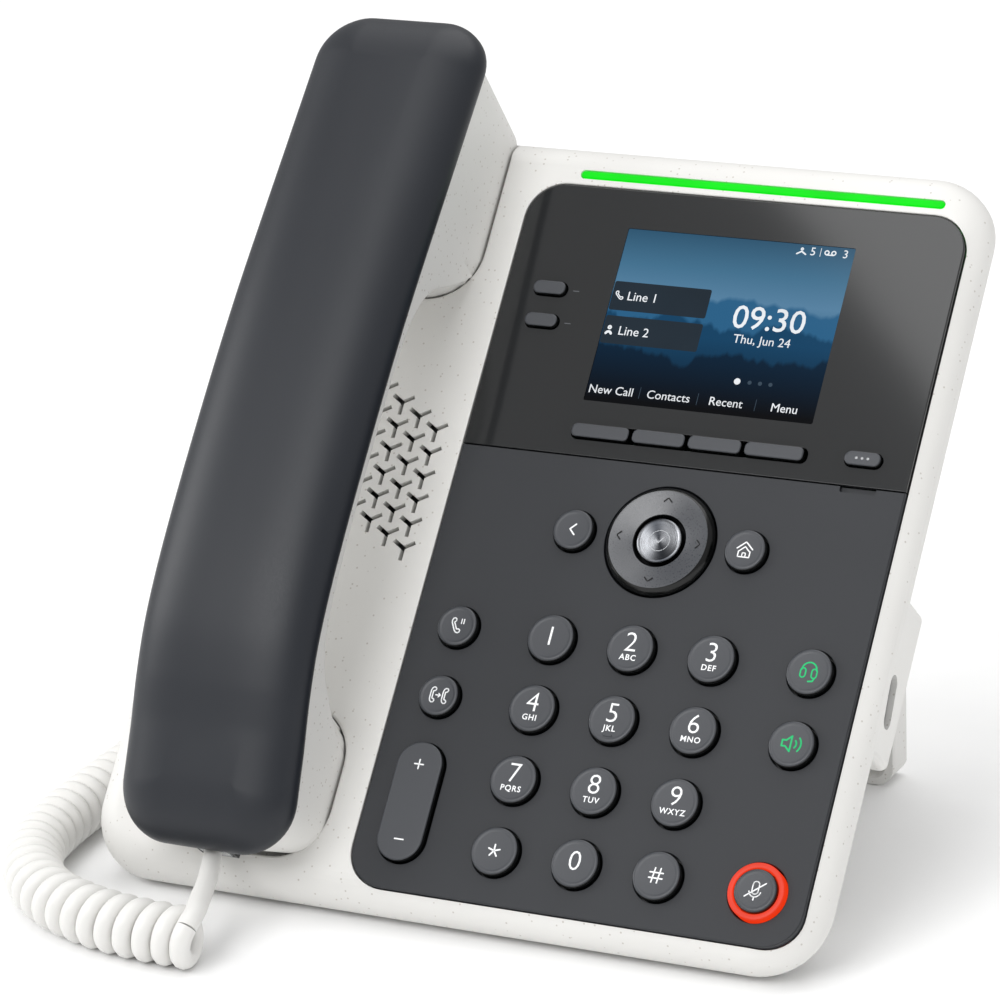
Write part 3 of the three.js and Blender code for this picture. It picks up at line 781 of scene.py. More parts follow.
# Light ABS with flecks of recycled resin: warm, satin, finely grained.
SHELL = Moulded(
    "speckled_light_abs", "DEDDDA", 0.48, shade="D9D8D5",
    speck="A39A90", speck_mm=0.5, speck_share=0.5, bump_mm=0.005,
)
# Charcoal ABS under a fine matt grain.
PANEL = Moulded("charcoal_matt_abs", "26282C", 0.5, gloss=0.35, shade="282A2E", grain_mm=0.3, bump_mm=0.005)
# Blue-charcoal ABS with a soft satin grain: a broad, faint sheen.
COVER = Moulded(
    "blue_charcoal_satin_abs", "1D2026", 0.42, gloss=0.4, shade="1F2228", grain_mm=0.4, bump_mm=0.004,
)
# Keys: satin tops. Their sides are painted near-black as shade, glossy so that they catch a thin line of
# light.
KEY_TOP = Moulded("key_cap_satin", "2D3036", 0.4, gloss=0.6, shade="2F3238", grain_mm=0.25, bump_mm=0.003)
# The navigation ring is polished a little brighter, so that it takes long soft highlights.
RING = Moulded(
    "navigation_ring_semi_gloss", "303339", 0.3, gloss=0.9, shade="33363C", grain_mm=0.4, bump_mm=0.001,
)
# Painted shade: the near-black, glossy sides of keys and rings, where shade falls; the same black prints the
# navigation ring's marks.
SIDE_SHADE_AND_MARK_BLACK = Moulded("side_shade_and_mark_black", "060707", 0.2, gloss=0.4, shade="070808", grain_mm=0.6, bump_mm=0.001)
# Black-backed acrylic window: sharp, dark reflections.
WINDOW_BLACK = Polished("black_backed_acrylic", "262728", 0.08)
GREEN_LIGHT = Lit("green_lit_bar", "00F014", 0.5, gloss=0.1, power=1.0)
RED_LIGHT = Lit("orange_red_lit_ring", "FF3A10", 0.4, gloss=0.3, power=0.85)
GREEN_INK = Lit("green_lit_symbol", "2BE68C", 0.5, gloss=0.2, power=0.8)
WHITE_INK = Moulded("white_printed_ink", "F4F5F6", 0.5, shade="EEEFF1", grain_mm=0.2, bump_mm=0.001)
GREY_INK = Moulded("grey_printed_ink", "56595E", 0.5, shade="505358", grain_mm=0.2, bump_mm=0.001)
SCREEN_INK = Lit("screen_white", "F2F6FA", 0.5, gloss=0.0, power=0.95)
SCREEN_GREY = Lit("screen_grey", "55697B", 0.5, gloss=0.0, power=0.5)
SCREEN_BOX = Lit("screen_label_box", "222D37", 0.5, gloss=0.0, power=1.0)
SPUN = Spun("spun_aluminium", "A9ABAE", 0.26, metallic=1.0, centre=(PANEL_MIDDLE, NAV_Y))
STEEL = Moulded("drawn_steel", "B8BABD", 0.3, metallic=1.0, shade="AEB0B4", grain_mm=0.5, bump_mm=0.002)
GOLD = Moulded("gold_plated_contact", "D8B25A", 0.25, metallic=1.0, shade="CFA84F", bump_mm=0.001)
RUBBER = Moulded("black_rubber", "26272A", 0.85, shade="2B2C2F", grain_mm=0.5, bump_mm=0.01)
BLACK_ABS = Moulded("black_socket_abs", "161719", 0.45, shade="1B1C1E", bump_mm=0.003)
BOARD = Moulded("green_solder_mask", "1D5A3A", 0.4, shade="1A5034", speck="C9A24E", speck_mm=1.2)
SLEEVE = Moulded("off_white_pvc_jacket", "E0DFDC", 0.42, shade="DCDBD8", grain_mm=0.8, bump_mm=0.004)
CLEAR_PC = Polished("clear_polycarbonate", "E8ECEE", 0.08, ior=1.58, clear=0.7)
FLOOR = Moulded("pale_floor", "FAFAFA", 0.85, shade="F8F8F8", grain_mm=1.2, bump_mm=0.002)


# ------------------------------------------------------------------------------------- camera and cord
@dataclass(frozen=True)
class View:
    """The camera: where it looks from, in degrees and millimetres."""

    azimuth: float = 26.111
    elevation: float = 18.575
    roll: float = -2.1465
    aim: tuple[float, float, float] = (-16.046, 16.822, 79.906)
    distance: float = 1114.18
    lens: float = 169.44

    def build(self) -> None:
        """Makes the camera and looks through it."""
        data = bpy.data.cameras.new("camera")
        data.lens = self.lens
        data.sensor_width = 36
        data.clip_start, data.clip_end = 0.05, 30
        camera = bpy.data.objects.new("camera", data)
        bpy.context.scene.collection.objects.link(camera)
        turn = Matrix.Rotation(math.radians(self.azimuth), 4, "Z")
        tip = Matrix.Rotation(math.radians(90 - self.elevation), 4, "X")
        roll = Matrix.Rotation(math.radians(self.roll), 4, "Z")
        away = Matrix.Translation((0, 0, self.distance * MM))
        camera.matrix_world = Matrix.Translation(Vector(self.aim) * MM) @ turn @ tip @ away @ roll
        bpy.context.scene.camera = camera


def on_face(x: float, y: float, z: float) -> Vector:
    """A point of the face frame, upright on the desk, in millimetres."""
    return (FACE @ Vector((x, y, z))) / MM


def route_through(points: Sequence[Vector], spacing: float, after: Vector | None = None) -> list[Vector]:
    """A smooth route through points, as points an even distance apart.

    Args:
        points: the points, in order.
        spacing: the distance between the returned points.
        after: a point that the route would run on to, where it must end in that direction.

    Returns:
        The points of the route, with its tangent kept even at the joins.
    """
    ends = [2 * points[0] - points[1], *points, after or 2 * points[-1] - points[-2]]
    dense: list[Vector] = []
    for a, b, c, d in zip(ends, ends[1:], ends[2:], ends[3:]):
        knots = [0.0]
        for p, q in ((a, b), (b, c), (c, d)):
            knots.append(knots[-1] + math.sqrt(max((q - p).length, 1e-6)))
        t0, t1, t2, t3 = knots
        for step in range(40):
            t = t1 + (t2 - t1) * step / 40
            p1 = a.lerp(b, (t - t0) / (t1 - t0))
            p2 = b.lerp(c, (t - t1) / (t2 - t1))
            p3 = c.lerp(d, (t - t2) / (t3 - t2))
            q1 = p1.lerp(p2, (t - t0) / (t2 - t0))
            q2 = p2.lerp(p3, (t - t1) / (t3 - t1))
            dense.append(q1.lerp(q2, (t - t1) / (t2 - t1)))
    dense.append(points[-1])
    even, left = [dense[0]], spacing
    for p, q in zip(dense, dense[1:]):
        length = (q - p).length
        while length >= left:
            p = p.lerp(q, left / length)
            length = (q - p).length
            even.append(p)
            left = spacing
        left -= length
    if (even[-1] - points[-1]).length > 0.3 * spacing:
        even.append(points[-1])
    else:
        even[-1] = points[-1]
    return even


@dataclass(frozen=True)
class HandsetCord:
    """The coiled cord from the socket in the port bay to the socket in the handset's lower end."""

    wire: float = 4.9
    coil: float = 14.5
    turns: float = 50.65
    points_per_turn: int = 24
    # The coil on the desk: out in front, round the base's left side and back under the phone.
    coil_route: tuple[tuple[float, float], ...] = (
        (-50.2, -36.6), (-59, -35.3), (-71.6, -32.9), (-85.2, -27.2), (-93.5, -20.5), (-100, -12),
        (-104.5, -3), (-107, 10), (-108, 25), (-108.3, 40), (-108.5, 60), (-108.5, 80), (-104, 95),
        (-92, 103), (-80, 97), (-76.5, 84), (-76, 70), (-70, 60.5), (-60, 57),
    )

    def helix(self) -> list[Vector]:
        """The coil's turns, from the handset's end to the base's end.

        Returns:
            The points along the wire.
        """
        flat = [Vector((x, y + CENTRE_Y, self.coil / 2)) for x, y in self.coil_route]
        flat[0] = flat[0] + Vector((6.5, 0.6, 0))
        route = route_through(flat, 0.5)
        count = round(self.turns * self.points_per_turn)
        reach = (self.coil - self.wire) / 2
        points = []
        for i in range(count + 1):
            at = (len(route) - 1) * i / count
            k = min(int(at), len(route) - 2)
            centre = route[k].lerp(route[k + 1], at - k)
            along = (route[min(k + 3, len(route) - 1)] - route[max(k - 3, 0)]).normalized()
            near = Vector((0, 0, 1)).cross(along)
            turn = math.pi * (0.2 + 2 * i / self.points_per_turn)
            points.append(centre + reach * (Vector((0, 0, 1)) * math.cos(turn) + near * math.sin(turn)))
        return points

    def lead(self, start: Vector) -> list[Vector]:
        """The straight stretch from the coil's back end up to the base's socket.

        Args:
            start: the coil's last point.

        Returns:
            The points of the route, from the coil to the socket.
        """
        x = JACKS[0].x
        by_hand = [
            start,
            start + Vector((1.2, -0.2, 6.5)),
            Vector((-54.5, 52.6 + CENTRE_Y, 18.6)),
            Vector((-47, 52.2 + CENTRE_Y, 22.6)),
            on_face(x - 0.3, 52, -31),
            on_face(x, 66, -25),
            on_face(x, 84, -20.95),
            on_face(x, 98.2, -20.95),
        ]
        return route_through(by_hand, 1.4)

    def tail(self, coil: Sequence[Vector]) -> list[Vector]:
        """The stretch from the handset's socket over the top of the coil into its first turn.

        Args:
            coil: the coil's points, the handset's end first.

        Returns:
            The points of the route, from the socket to the coil.
        """
        by_hand = [
            on_face(HANDSET_SOCKET_X, 8.0, 9),
            on_face(HANDSET_SOCKET_X, 4.5, 9),
            Vector((-51.2, -68.4, 15.9)),
            Vector((-48.2, -76.4, 14.3)),
            Vector((-45.6, -84.6, 13.5)),
            Vector((-44.0, -89.8, 12.8)),
            coil[0],
        ]
        return route_through(by_hand, 0.8, coil[4])

    def tube(self, name: str, points: Sequence[Vector], start: float = 1.0) -> bpy.types.Object:
        """A curve object with the wire's thickness, given a relative thickness where it starts.

        Args:
            name: the object's name.
            points: the points along its middle.
            start: its relative thickness at the first point.

        Returns:
            The curve object.
        """
        curve = bpy.data.curves.new(name, "CURVE")
        curve.dimensions = "3D"
        curve.bevel_depth = self.wire / 2 * MM
        curve.bevel_resolution = 4
        curve.use_fill_caps = True
        spline = curve.splines.new("POLY")
        spline.points.add(len(points) - 1)
        for index, (knot, point) in enumerate(zip(spline.points, points)):
            knot.co = (*(point * MM), 1)
            knot.radius = start + (1 - start) * min(1.0, 1.6 * index / len(points))
        curve.materials.append(SLEEVE.material())
        made = bpy.data.objects.new(name, curve)
        bpy.context.scene.collection.objects.link(made)
        return made

    def build(self) -> None:
        """Makes the cord in two stretches, which meet at the coil's front end."""
        helix = self.helix()
        lead = self.lead(helix[-1])
        whole = list(reversed(lead)) + list(reversed(helix))[1:]
        main = self.tube("handset_cord", whole)
        fitted(main, "base", "cord_jacket", "cord_coil", "cord_base_lead")
        tail = self.tail(helix)
        carrier = self.tube("tail_curve", tail, 0.82)
        graph = bpy.context.evaluated_depsgraph_get()
        mesh = bpy.data.meshes.new_from_object(carrier.evaluated_get(graph))
        mesh.materials.clear()
        mesh.materials.append(SLEEVE.material())
        bpy.data.curves.remove(carrier.data)
        end = bpy.data.objects.new("handset_cord_tail", mesh)
        bpy.context.scene.collection.objects.link(end)
        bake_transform(end)
        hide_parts("cord_tail")
        lengths = (self.measured(whole), self.measured(tail))
        LOG.info("cord: %.3f m in the coil and lead, %.3f m at the handset", *lengths)

    @staticmethod
    def measured(points: Sequence[Vector]) -> float:
        """The length of a route, in metres, to the nearest millimetre."""
        return round(sum((q - p).length for p, q in zip(points, points[1:])) * MM, 3)


# ------------------------------------------------------------------------------------- casings
@dataclass(frozen=True)
class HandsetPlan:
    """What the handset, its cups and the recesses under them share."""

    centre: float = -52.8
    width: float = 44.4
    tuck: float = 0.8
    corner: float = 13.5
    low: float = 3.5
    high: float = 210.2
    seat: float = -4.7
    ear: tuple[float, float] = (150.3, 208.0)
    mouth: tuple[float, float] = (8.6, 44.6)
    clearance: float = 0.6


@dataclass(frozen=True)
class BaseCasing:
    """The light front shell and the housing behind it."""

    width: float = 184.5
    length: float = 194.3
    corner: float = 16.0
    skirt: float = 16.0
    # How far the side draws in below its widest line, as (inset, height).
    tuck_under: tuple = ((3.6, -16.0), (2.5, -14.0), (1.5, -12.0), (0.6, -10.0))
    wall: float = 2.5
    well_floor: float = -5.0
    panel: Plan = Plan(-23.0, 88.6, 4.3, 182.7, 9.3, 10)
    grille_at: tuple[float, float] = (-30.6, 116.5)
    grille_pitch: float = 6.05
    grille_arm: float = 3.2
    grille_width: float = 1.05
    depth: float = 32.0
    bay: tuple[float, float, float, float] = (-52.0, 36.0, 44.0, 98.0)
    bay_floor: float = -17.0

    def outline(self, inset: float, radius: float, steps: int = 10) -> Plan:
        """The base's outline, drawn in by an inset."""
        half = self.width / 2 - inset
        return Plan(-half, half, inset, self.length - inset, radius, steps)

    def wells(self, handset: HandsetPlan, spread: float) -> list[Plan]:
        """The outlines of the two recesses that take the handset's cups.

        Args:
            handset: the handset's shared sizes.
            spread: how far the outlines lie outside the cups.

        Returns:
            The earpiece's recess, then the microphone's.
        """
        half = handset.width / 2 - handset.tuck + spread
        left, right = handset.centre - half, handset.centre + half
        radius = handset.corner + spread - 1
        ends = (handset.ear, handset.mouth)
        return [Plan(left, right, low - spread, high + spread, radius, 12) for low, high in ends]

    def grille(self) -> BMesh:
        """The cutters of the speaker's three-armed slots.

        Returns:
            The cutters as one mesh.
        """
        slots = []
        for column in range(4):
            for row in range(6):
                x = self.grille_at[0] - column * self.grille_pitch * math.sin(math.pi / 3)
                y = self.grille_at[1] + column * 3 - row * self.grille_pitch
                slots.append(self.slot(x, y))
        return gathered(slots)

    def slot(self, x: float, y: float) -> BMesh:
        """One three-armed slot's cutter about its centre.

        Args:
            x: its place across.
            y: its place up the slope.

        Returns:
            The cutter.
        """
        points = []
        for index in range(3):
            along = math.pi / 6 + index * 2 * math.pi / 3
            out = Vector((math.cos(along), math.sin(along), 0))
            side = Vector((-out.y, out.x, 0)) * self.grille_width / 2
            crotch = Vector((math.cos(along + math.pi / 3), math.sin(along + math.pi / 3), 0))
            points += [out * self.grille_arm - side, out * self.grille_arm + side]
            points.append(crotch * self.grille_width / math.sqrt(3))
        rings = [[point + Vector((x, y, level)) for point in points] for level in (-6, 1)]
        return grow(rings)

    def front(self, handset: HandsetPlan) -> BMesh:
        """The front shell, open behind.

        Args:
            handset: the handset's shared sizes.

        Returns:
            The shell.
        """
        outline = self.outline(0, self.corner, 12)
        shell = slab(outline, [*self.tuck_under, *rounded(-EDGE_ROUND - 0.6, 0, EDGE_ROUND, 10)])
        inside = [(self.tuck_under[0][0], -30), *self.tuck_under]
        inside += rounded(-EDGE_ROUND - 0.6, -self.wall, 5.5, 4)
        hollow = slab(self.outline(self.wall, self.corner - 2), inside)
        for plan in self.wells(handset, handset.clearance + 2.2):
            cup = slab(plan, [(0, self.well_floor - 2.2), (0, -1)])
            hollow = carved(hollow, cup)
        floor_front = Plan(-100, 100, -20, 8.6, 0.5, 1)
        hollow = carved(hollow, slab(floor_front, [(0, -40), (0, -6)]))
        shell = carved(shell, hollow)
        pod = slab(Plan(87.2, self.width / 2 - 0.05, 54, 92, 1.8, 6), rounded(-20, -5, 1.5, 4, 1.2))
        shell = carved(shell, pod, Cut.JOIN)
        for plan in self.wells(handset, handset.clearance):
            shell = carved(shell, slab(plan, flare(-self.well_floor, 0.9, 4.0, 4)))
        shell = carved(shell, slab(self.panel, flare(6, 0.35)))
        shell = carved(shell, self.grille())
        light = slab(Plan.about(34.9, 185.4, 92.4, 2.2, 1.05), flare(5, 0.2))
        shell = carved(shell, light)
        shell = carved(shell, self.usb_cutter(12.6, 4.6, 75, 120))
        return self.trimmed(shell, EDGE_LIFT)

    @staticmethod
    def trimmed(body: BMesh, lift: float) -> BMesh:
        """The same body, cut level a little above the desk.

        Args:
            body: the closed body, in the face frame.
            lift: how far above the desk the cut lies.

        Returns:
            The closed body.
        """
        geometry = [*body.verts, *body.edges, *body.faces]
        level = FACE.inverted() @ Vector((0, 0, lift * MM))
        up = FACE.inverted().to_3x3() @ Vector((0, 0, 1))
        bmesh.ops.bisect_plane(body, geom=geometry, plane_co=level, plane_no=up, clear_inner=True)
        bmesh.ops.holes_fill(body, edges=[edge for edge in body.edges if edge.is_boundary], sides=0)
        return body

    def usb_cutter(self, length: float, height: float, left: float, right: float) -> BMesh:
        """A slot with round ends through the right wall, from one x to another.

        Args:
            length: the slot's length.
            height: the slot's height.
            left: where the cutter starts.
            right: where it ends.

        Returns:
            The cutter.
        """
        plan = Plan.about(0, 0, length, height, height / 2 - 0.01, 8)
        bar = slab(plan, [(0, 0), (0, right - left)])
        onto_side = Matrix(((0, 0, 1, 0), (1, 0, 0, 0), (0, 1, 0, 0), (0, 0, 0, 1)))
        place = Matrix.Translation((left, 68, -11.5)) @ Matrix.Rotation(math.radians(10), 4, "X")
        return reshaped(bar, place @ onto_side)

    def back(self) -> BMesh:
        """The housing behind, with the port bay, the hinge's ears and the rim that meets the shell.

        Returns:
            The housing.
        """
        depth, skirt = self.depth, self.skirt
        sides = [(9.0, -depth), (7.6, 0.5 - depth), (7.0, 1.4 - depth), (0, -skirt), (0, -13)]
        body = slab(self.outline(9, 12), sides)
        rim = slab(self.outline(6.3, 10), [(0, -skirt - 0.2), (0, -13.8)])
        housing = carved(body, rim, Cut.JOIN)
        left, right, low, high = self.bay
        mouth = [(-0.4, -45), (-0.4, -depth), (0, 0.4 - depth), (0, self.bay_floor)]
        housing = carved(housing, slab(Plan(left, right, low, high, 1.2, 4), mouth))
        for jack in JACKS:
            width, height = jack.mouth[0] + 0.8, jack.mouth[1] + 0.8
            window = slab(Plan.about(0, 0, width, height, 0.5, 3), [(0, 0), (0, 9)])
            housing = carved(housing, reshaped(window, jack.facing(high - 1)))
        housing = self.trimmed(housing, 1.5)
        pod_room = slab(Plan(86.8, 110, 52, 94, 0.5, 1), [(0, -40), (0, 0)])
        housing = carved(housing, pod_room)
        ears = gathered([self.ear(side) for side in (-1, 1)])
        return carved(housing, ears, Cut.JOIN)

    def ear(self, side: int) -> BMesh:
        """One ear of the leg's hinge, rounded about the pin.

        Args:
            side: -1 for the left ear, 1 for the right one.

        Returns:
            The ear.
        """
        x = side * 67.6
        pin = FACE.inverted() @ (Vector((0, FOLD_Y, FOLD_Z)) * MM)
        foot, eye = 8, 4.2
        outline = [(pin.y - foot, -30), (pin.y + foot, -30)]
        for turn in (0, 0.5, 1.05, 1.57, 2.1, 2.65, 3.14):
            outline.append((pin.y + eye * math.cos(turn), pin.z - eye * math.sin(turn)))
        rings = [[Vector((level, y, z)) for y, z in outline] for level in (x - 2, x + 2)]
        return grow(rings)

    def build(self, handset: HandsetPlan) -> None:
        """Makes both casings."""
        fitted(piece("base_shell", self.front(handset), [SHELL]), "base", "light_shell", "front_shell")
        fitted(piece("back_housing", self.back(), [SHELL]), "base", "light_shell", "rear_housing")


@dataclass(frozen=True)
class Jack:
    """One modular socket in the port bay."""

    node: str
    x: float
    width: float
    height: float
    mouth: tuple[float, float]
    contacts: int
    start: float = 100.5
    depth: float = 15.0
    top: float = -16.2

    def facing(self, at: float) -> Matrix:
        """From a frame looking up the slope, about the mouth's middle, to the face frame."""
        return Matrix.Translation((self.x, at, self.top - self.height / 2)) @ UP_SLOPE

    def build(self) -> None:
        """Makes the socket's body and its row of sprung contacts."""
        outer = Plan.about(0, 0, self.width, self.height, 0.4, 3)
        inner = Plan.about(0, 0, *self.mouth, 0.3, 3)
        rings = [outer.ring(0, self.depth), outer.ring(0, 0.3), outer.ring(0.3, 0)]
        rings += [inner.ring(-0.4, 0), inner.ring(0, 0.4), inner.ring(0, 12)]
        body = piece(self.node + "_body", reshaped(grow(rings), self.facing(self.start)), [BLACK_ABS])
        fitted(body, "base", "black_plastic", self.node)
        pitch = 1.02
        wires = []
        for index in range(self.contacts):
            x = (index - (self.contacts - 1) / 2) * pitch
            low = -self.mouth[1] / 2
            points = [(low + 0.25, 0.9), (low + 0.5, 1.4), (low + 2.6, 9.5)]
            points += [(low + 2.1, 9.7), (low + 0.1, 1.6)]
            wires.append(grow([[Vector((side, -y, z)) for y, z in points] for side in (x - 0.2, x + 0.2)]))
        row = reshaped(gathered(wires), self.facing(self.start))
        fitted(piece(self.node + "_contacts", row, [GOLD]), "base", "steel")


JACKS = (
    Jack("handset_jack", -42, 11, 9.5, (8, 6.6), 4),
    Jack("headset_jack", -28, 11, 9.5, (8, 6.6), 4),
    Jack("lan_jack", -4, 16, 13.5, (11.8, 8.4), 8),
    Jack("pc_jack", 18, 16, 13.5, (11.8, 8.4), 8),
)


@dataclass(frozen=True)
class Stand:
    """The fold-away leg, its hinge pin and the rubber feet."""

    half: float = 64.8
    front: float = 63.4
    rear: float = 73.4
    wall: float = 2.5
    corner: float = 5.5

    def leg(self) -> BMesh:
        """The leg: a tray, open towards the phone, rounded about the pin at its top.

        Returns:
            The leg.
        """
        half_depth = (self.rear - self.front) / 2

        def outline(inset: float, y: float) -> list[Vector]:
            """The leg's outline at a distance back, drawn in by an inset."""
            away = min(abs(y - FOLD_Y) / half_depth, 0.999)
            top = FOLD_Z + half_depth * math.sqrt(1 - away * away)
            plan = Plan(-self.half, self.half, 0, top, self.corner, 10)
            reach = self.half - inset
            points = []
            for point in plan.ring(0, y):
                x = max(-reach, min(reach, point.x))
                points.append(Vector((x, y, min(max(point.y, inset), top))))
            return points

        soft = 0.9
        rings = [outline(soft, self.rear), outline(soft * 0.3, self.rear - soft * 0.3)]
        rings += [outline(0, self.rear - at) for at in (0.9, 2, 3.2, 5, 6.8, 8, 9.2)]
        rings += [outline(0.3, self.front + 0.25)]
        side, back = self.half - self.wall, self.rear - self.wall
        hollow = Plan(-side, side, self.wall, FOLD_Z - 7, self.corner - self.wall, 10)
        rings += [self.upright(hollow, -0.5, self.front + 0.02), self.upright(hollow, 0, self.front + 0.6)]
        rings += [self.upright(hollow, 0.3, back - 0.4), self.upright(hollow, 0.9, back)]
        return grow(rings)

    @staticmethod
    def upright(plan: Plan, inset: float, y: float) -> list[Vector]:
        """A ring of a plan that stands up, at a distance back."""
        return [Vector((point.x, y, point.y)) for point in plan.ring(inset, 0)]

    def build(self) -> None:
        """Makes the leg, pin and feet."""
        leg = piece("rear_leg", self.leg(), [SHELL], UPRIGHT, 40)
        fitted(leg, "stand_leg", "light_shell", "stand_leg")
        pin = turned([(0, -69.3), (1.7, -69.3), (2, -69), (2, 69), (1.7, 69.3), (0, 69.3)], 24)
        pin = reshaped(pin, Matrix.Translation((0, FOLD_Y, FOLD_Z)) @ Matrix.Rotation(math.pi / 2, 4, "Y"))
        fitted(piece("leg_hinge_pin", pin, [STEEL], UPRIGHT), "base", "steel", "stand_hinge_pin")
        for name, x in (("foot_left", -52), ("foot_right", 52)):
            pad = slab(Plan.about(x, 26 + CENTRE_Y, 34, 8, 2.5, 6), rounded(0, 1.2, 0.2, 2, 0.3))
            fitted(piece(name + "_pad", pad, [RUBBER], UPRIGHT), "base", "black_rubber", name)


# ------------------------------------------------------------------------------------- display
@dataclass(frozen=True)
class Display:
    """The window over the display, the picture behind it and what the picture says."""

    centre: float = PANEL_MIDDLE
    half: float = PANEL_HALF
    seam: float = 114.15
    top: float = 182.4
    corner: float = 9.0
    left: float = 4.6
    low: float = 128.0
    picture_width: float = 57.6
    picture_height: float = 44.5
    level: float = -0.12

    def window(self) -> None:
        """Makes the black-backed window, open where the picture is."""
        left, right = self.centre - self.half, self.centre + self.half
        outline = Plan(left, right, self.seam, self.top, self.corner, 10)
        steps = rounded(-1.6, 0, 0.3, 3)
        body = grow([self.square_foot(outline, inset, height) for inset, height in steps])
        pill = 3.4 + 0.5
        holes = [Plan.about(x, y, width + 0.5, pill, pill / 2 - 0.01) for x, y, width in PILLS]
        holes.append(Plan(3.75, 62.95, 120.1 - pill / 2, 120.1 + pill / 2, 1.6))
        for hole in holes:
            body = carved(body, slab(hole, flare(3, 0.15)))
        across, up = self.left + self.picture_width, self.low + self.picture_height
        body = carved(body, slab(Plan(self.left, across, self.low, up, 0.4, 3), [(0, -3), (0, 3)]))
        fitted(piece("display_window", body, [WINDOW_BLACK]), "base", "display_glass", "display_lens")

    def square_foot(self, outline: Plan, inset: float, height: float) -> list[Vector]:
        """A ring of the window, with square corners at the seam.

        Args:
            outline: the window's outline.
            inset: how far the ring is drawn in.
            height: its level.

        Returns:
            The points of the ring.
        """
        ring = outline.ring(inset, height)
        low, radius = self.seam + inset * 0.5, self.corner
        for point in ring:
            if point.y < self.seam + radius:
                side = self.half - inset
                point.x = self.centre + (side if point.x > self.centre else -side)
                bottom = outline.ring(inset, height)[0].y
                point.y = low + (point.y - bottom) * (1 if point.y > self.seam + radius - 0.5 else 0.999)
        return ring

    def picture(self) -> None:
        """Makes the lit panel and everything that it shows."""
        frame_plan = Plan.about(self.centre, 150.4, 66, 50, 1, 4)
        panel = slab(frame_plan, rounded(-5.4, -2.3, 0.2, 2))
        fitted(piece("display_panel", panel, [BLACK_ABS]), "base", "display_panel", "lcd_panel")
        lit = Plan(
            self.left + 0.1, self.left + self.picture_width - 0.1,
            self.low + 0.1, self.low + self.picture_height - 0.1, 0.3, 2,
        )
        wallpaper = Wallpaper(
            "lit_display_picture", "10233D", 0.1, gloss=0.12, left=self.left, low=self.low,
            width=self.picture_width, height=self.picture_height,
        )
        picture = slab(lit, [(0, -1.5), (0, self.level)])
        fitted(piece("display_picture", picture, [wallpaper]), "base", "display_panel")
        self.labels()

    def labels(self) -> None:
        """Makes the display's boxes, lettering and symbols."""
        boxes = []
        for y, height in ((155.1, 7.4), (146.4, 7.1)):
            plan = Plan(self.left + 0.2, 29.5, y - height / 2, y + height / 2, 0.5, 3)
            boxes.append(slab(plan, [(0, self.level), (0, self.level + 0.02)]))
        fitted(piece("screen_label_boxes", gathered(boxes), [SCREEN_BOX]), "base", "display_panel")
        words = [
            ("09:30", 8.3, 45.4, 152.4), ("Thu, Jun 24", 3.1, 44.9, 147.1), ("New Call", 3.0, 10.9, 131.0),
            ("Contacts", 3.0, 25.5, 131.0), ("Recent", 3.0, 39.9, 131.0), ("Menu", 3.0, 54.5, 131.0),
            ("5", 2.9, 51.9, 170.7), ("3", 2.9, 60.0, 170.7),
        ]
        bodies = [letters(text, size, x, y, 0.03 if text == "09:30" else 0.0) for text, size, x, y in words]
        for row, y in enumerate((155.1, 146.2)):
            bodies.append(letters(f"Line {row + 1}", 3.2, 8.7, y, 0.0, "LEFT"))
        bodies.append(Icons.handset(6.6, 155.1, 0.75, 0.26))
        bodies += [stroke(arc(6.4, 146.9, 0.35, 0, 360), 0.4), stroke(arc(6.4, 145.1, 0.7, 20, 160), 0.6)]
        bodies.append(stroke(arc(49.1, 171.2, 0.25, 0, 360), 0.3))
        bodies.append(stroke([(48.0, 169.9), (49.1, 170.6), (50.2, 169.9)], 0.36))
        bodies += [stroke(arc(56.2 + at, 170.8, 0.5, 0, 360, 12), 0.3) for at in (-0.85, 0.85)]
        bodies.append(stroke([(55.35, 170.25), (57.05, 170.25)], 0.3))
        bodies.append(stroke([(53.8, 169.7), (53.8, 171.8)], 0.12))
        bodies.append(stroke(arc(41.4, 136.6, 0.4, 0, 360), 0.8))
        ink = moved(gathered(bodies), z=self.level + 0.03)
        fitted(piece("screen_words", ink, [SCREEN_INK], even=False), "base", "display_panel")
        faint = [stroke(arc(x, 136.6, 0.25, 0, 360), 0.5) for x in (44.5, 47.1, 49.7)]
        faint += [stroke([(x, 129.8), (x, 132.6)], 0.12) for x in (18.2, 32.8, 47.3)]
        marks = moved(gathered(faint), z=self.level + 0.03)
        fitted(piece("screen_faint_marks", marks, [SCREEN_GREY], even=False), "base", "display_panel")

    def build(self) -> None:
        """Makes the window, the picture and the light bar."""
        self.window()
        self.picture()
        bar = slab(Plan.about(34.9, 185.4, 91.8, 1.6, 0.78, 6), rounded(-3.5, 0.2, 0.35, 3))
        fitted(piece("light_bar", bar, [GREEN_LIGHT]), "base", "green_light", "message_light_bar")


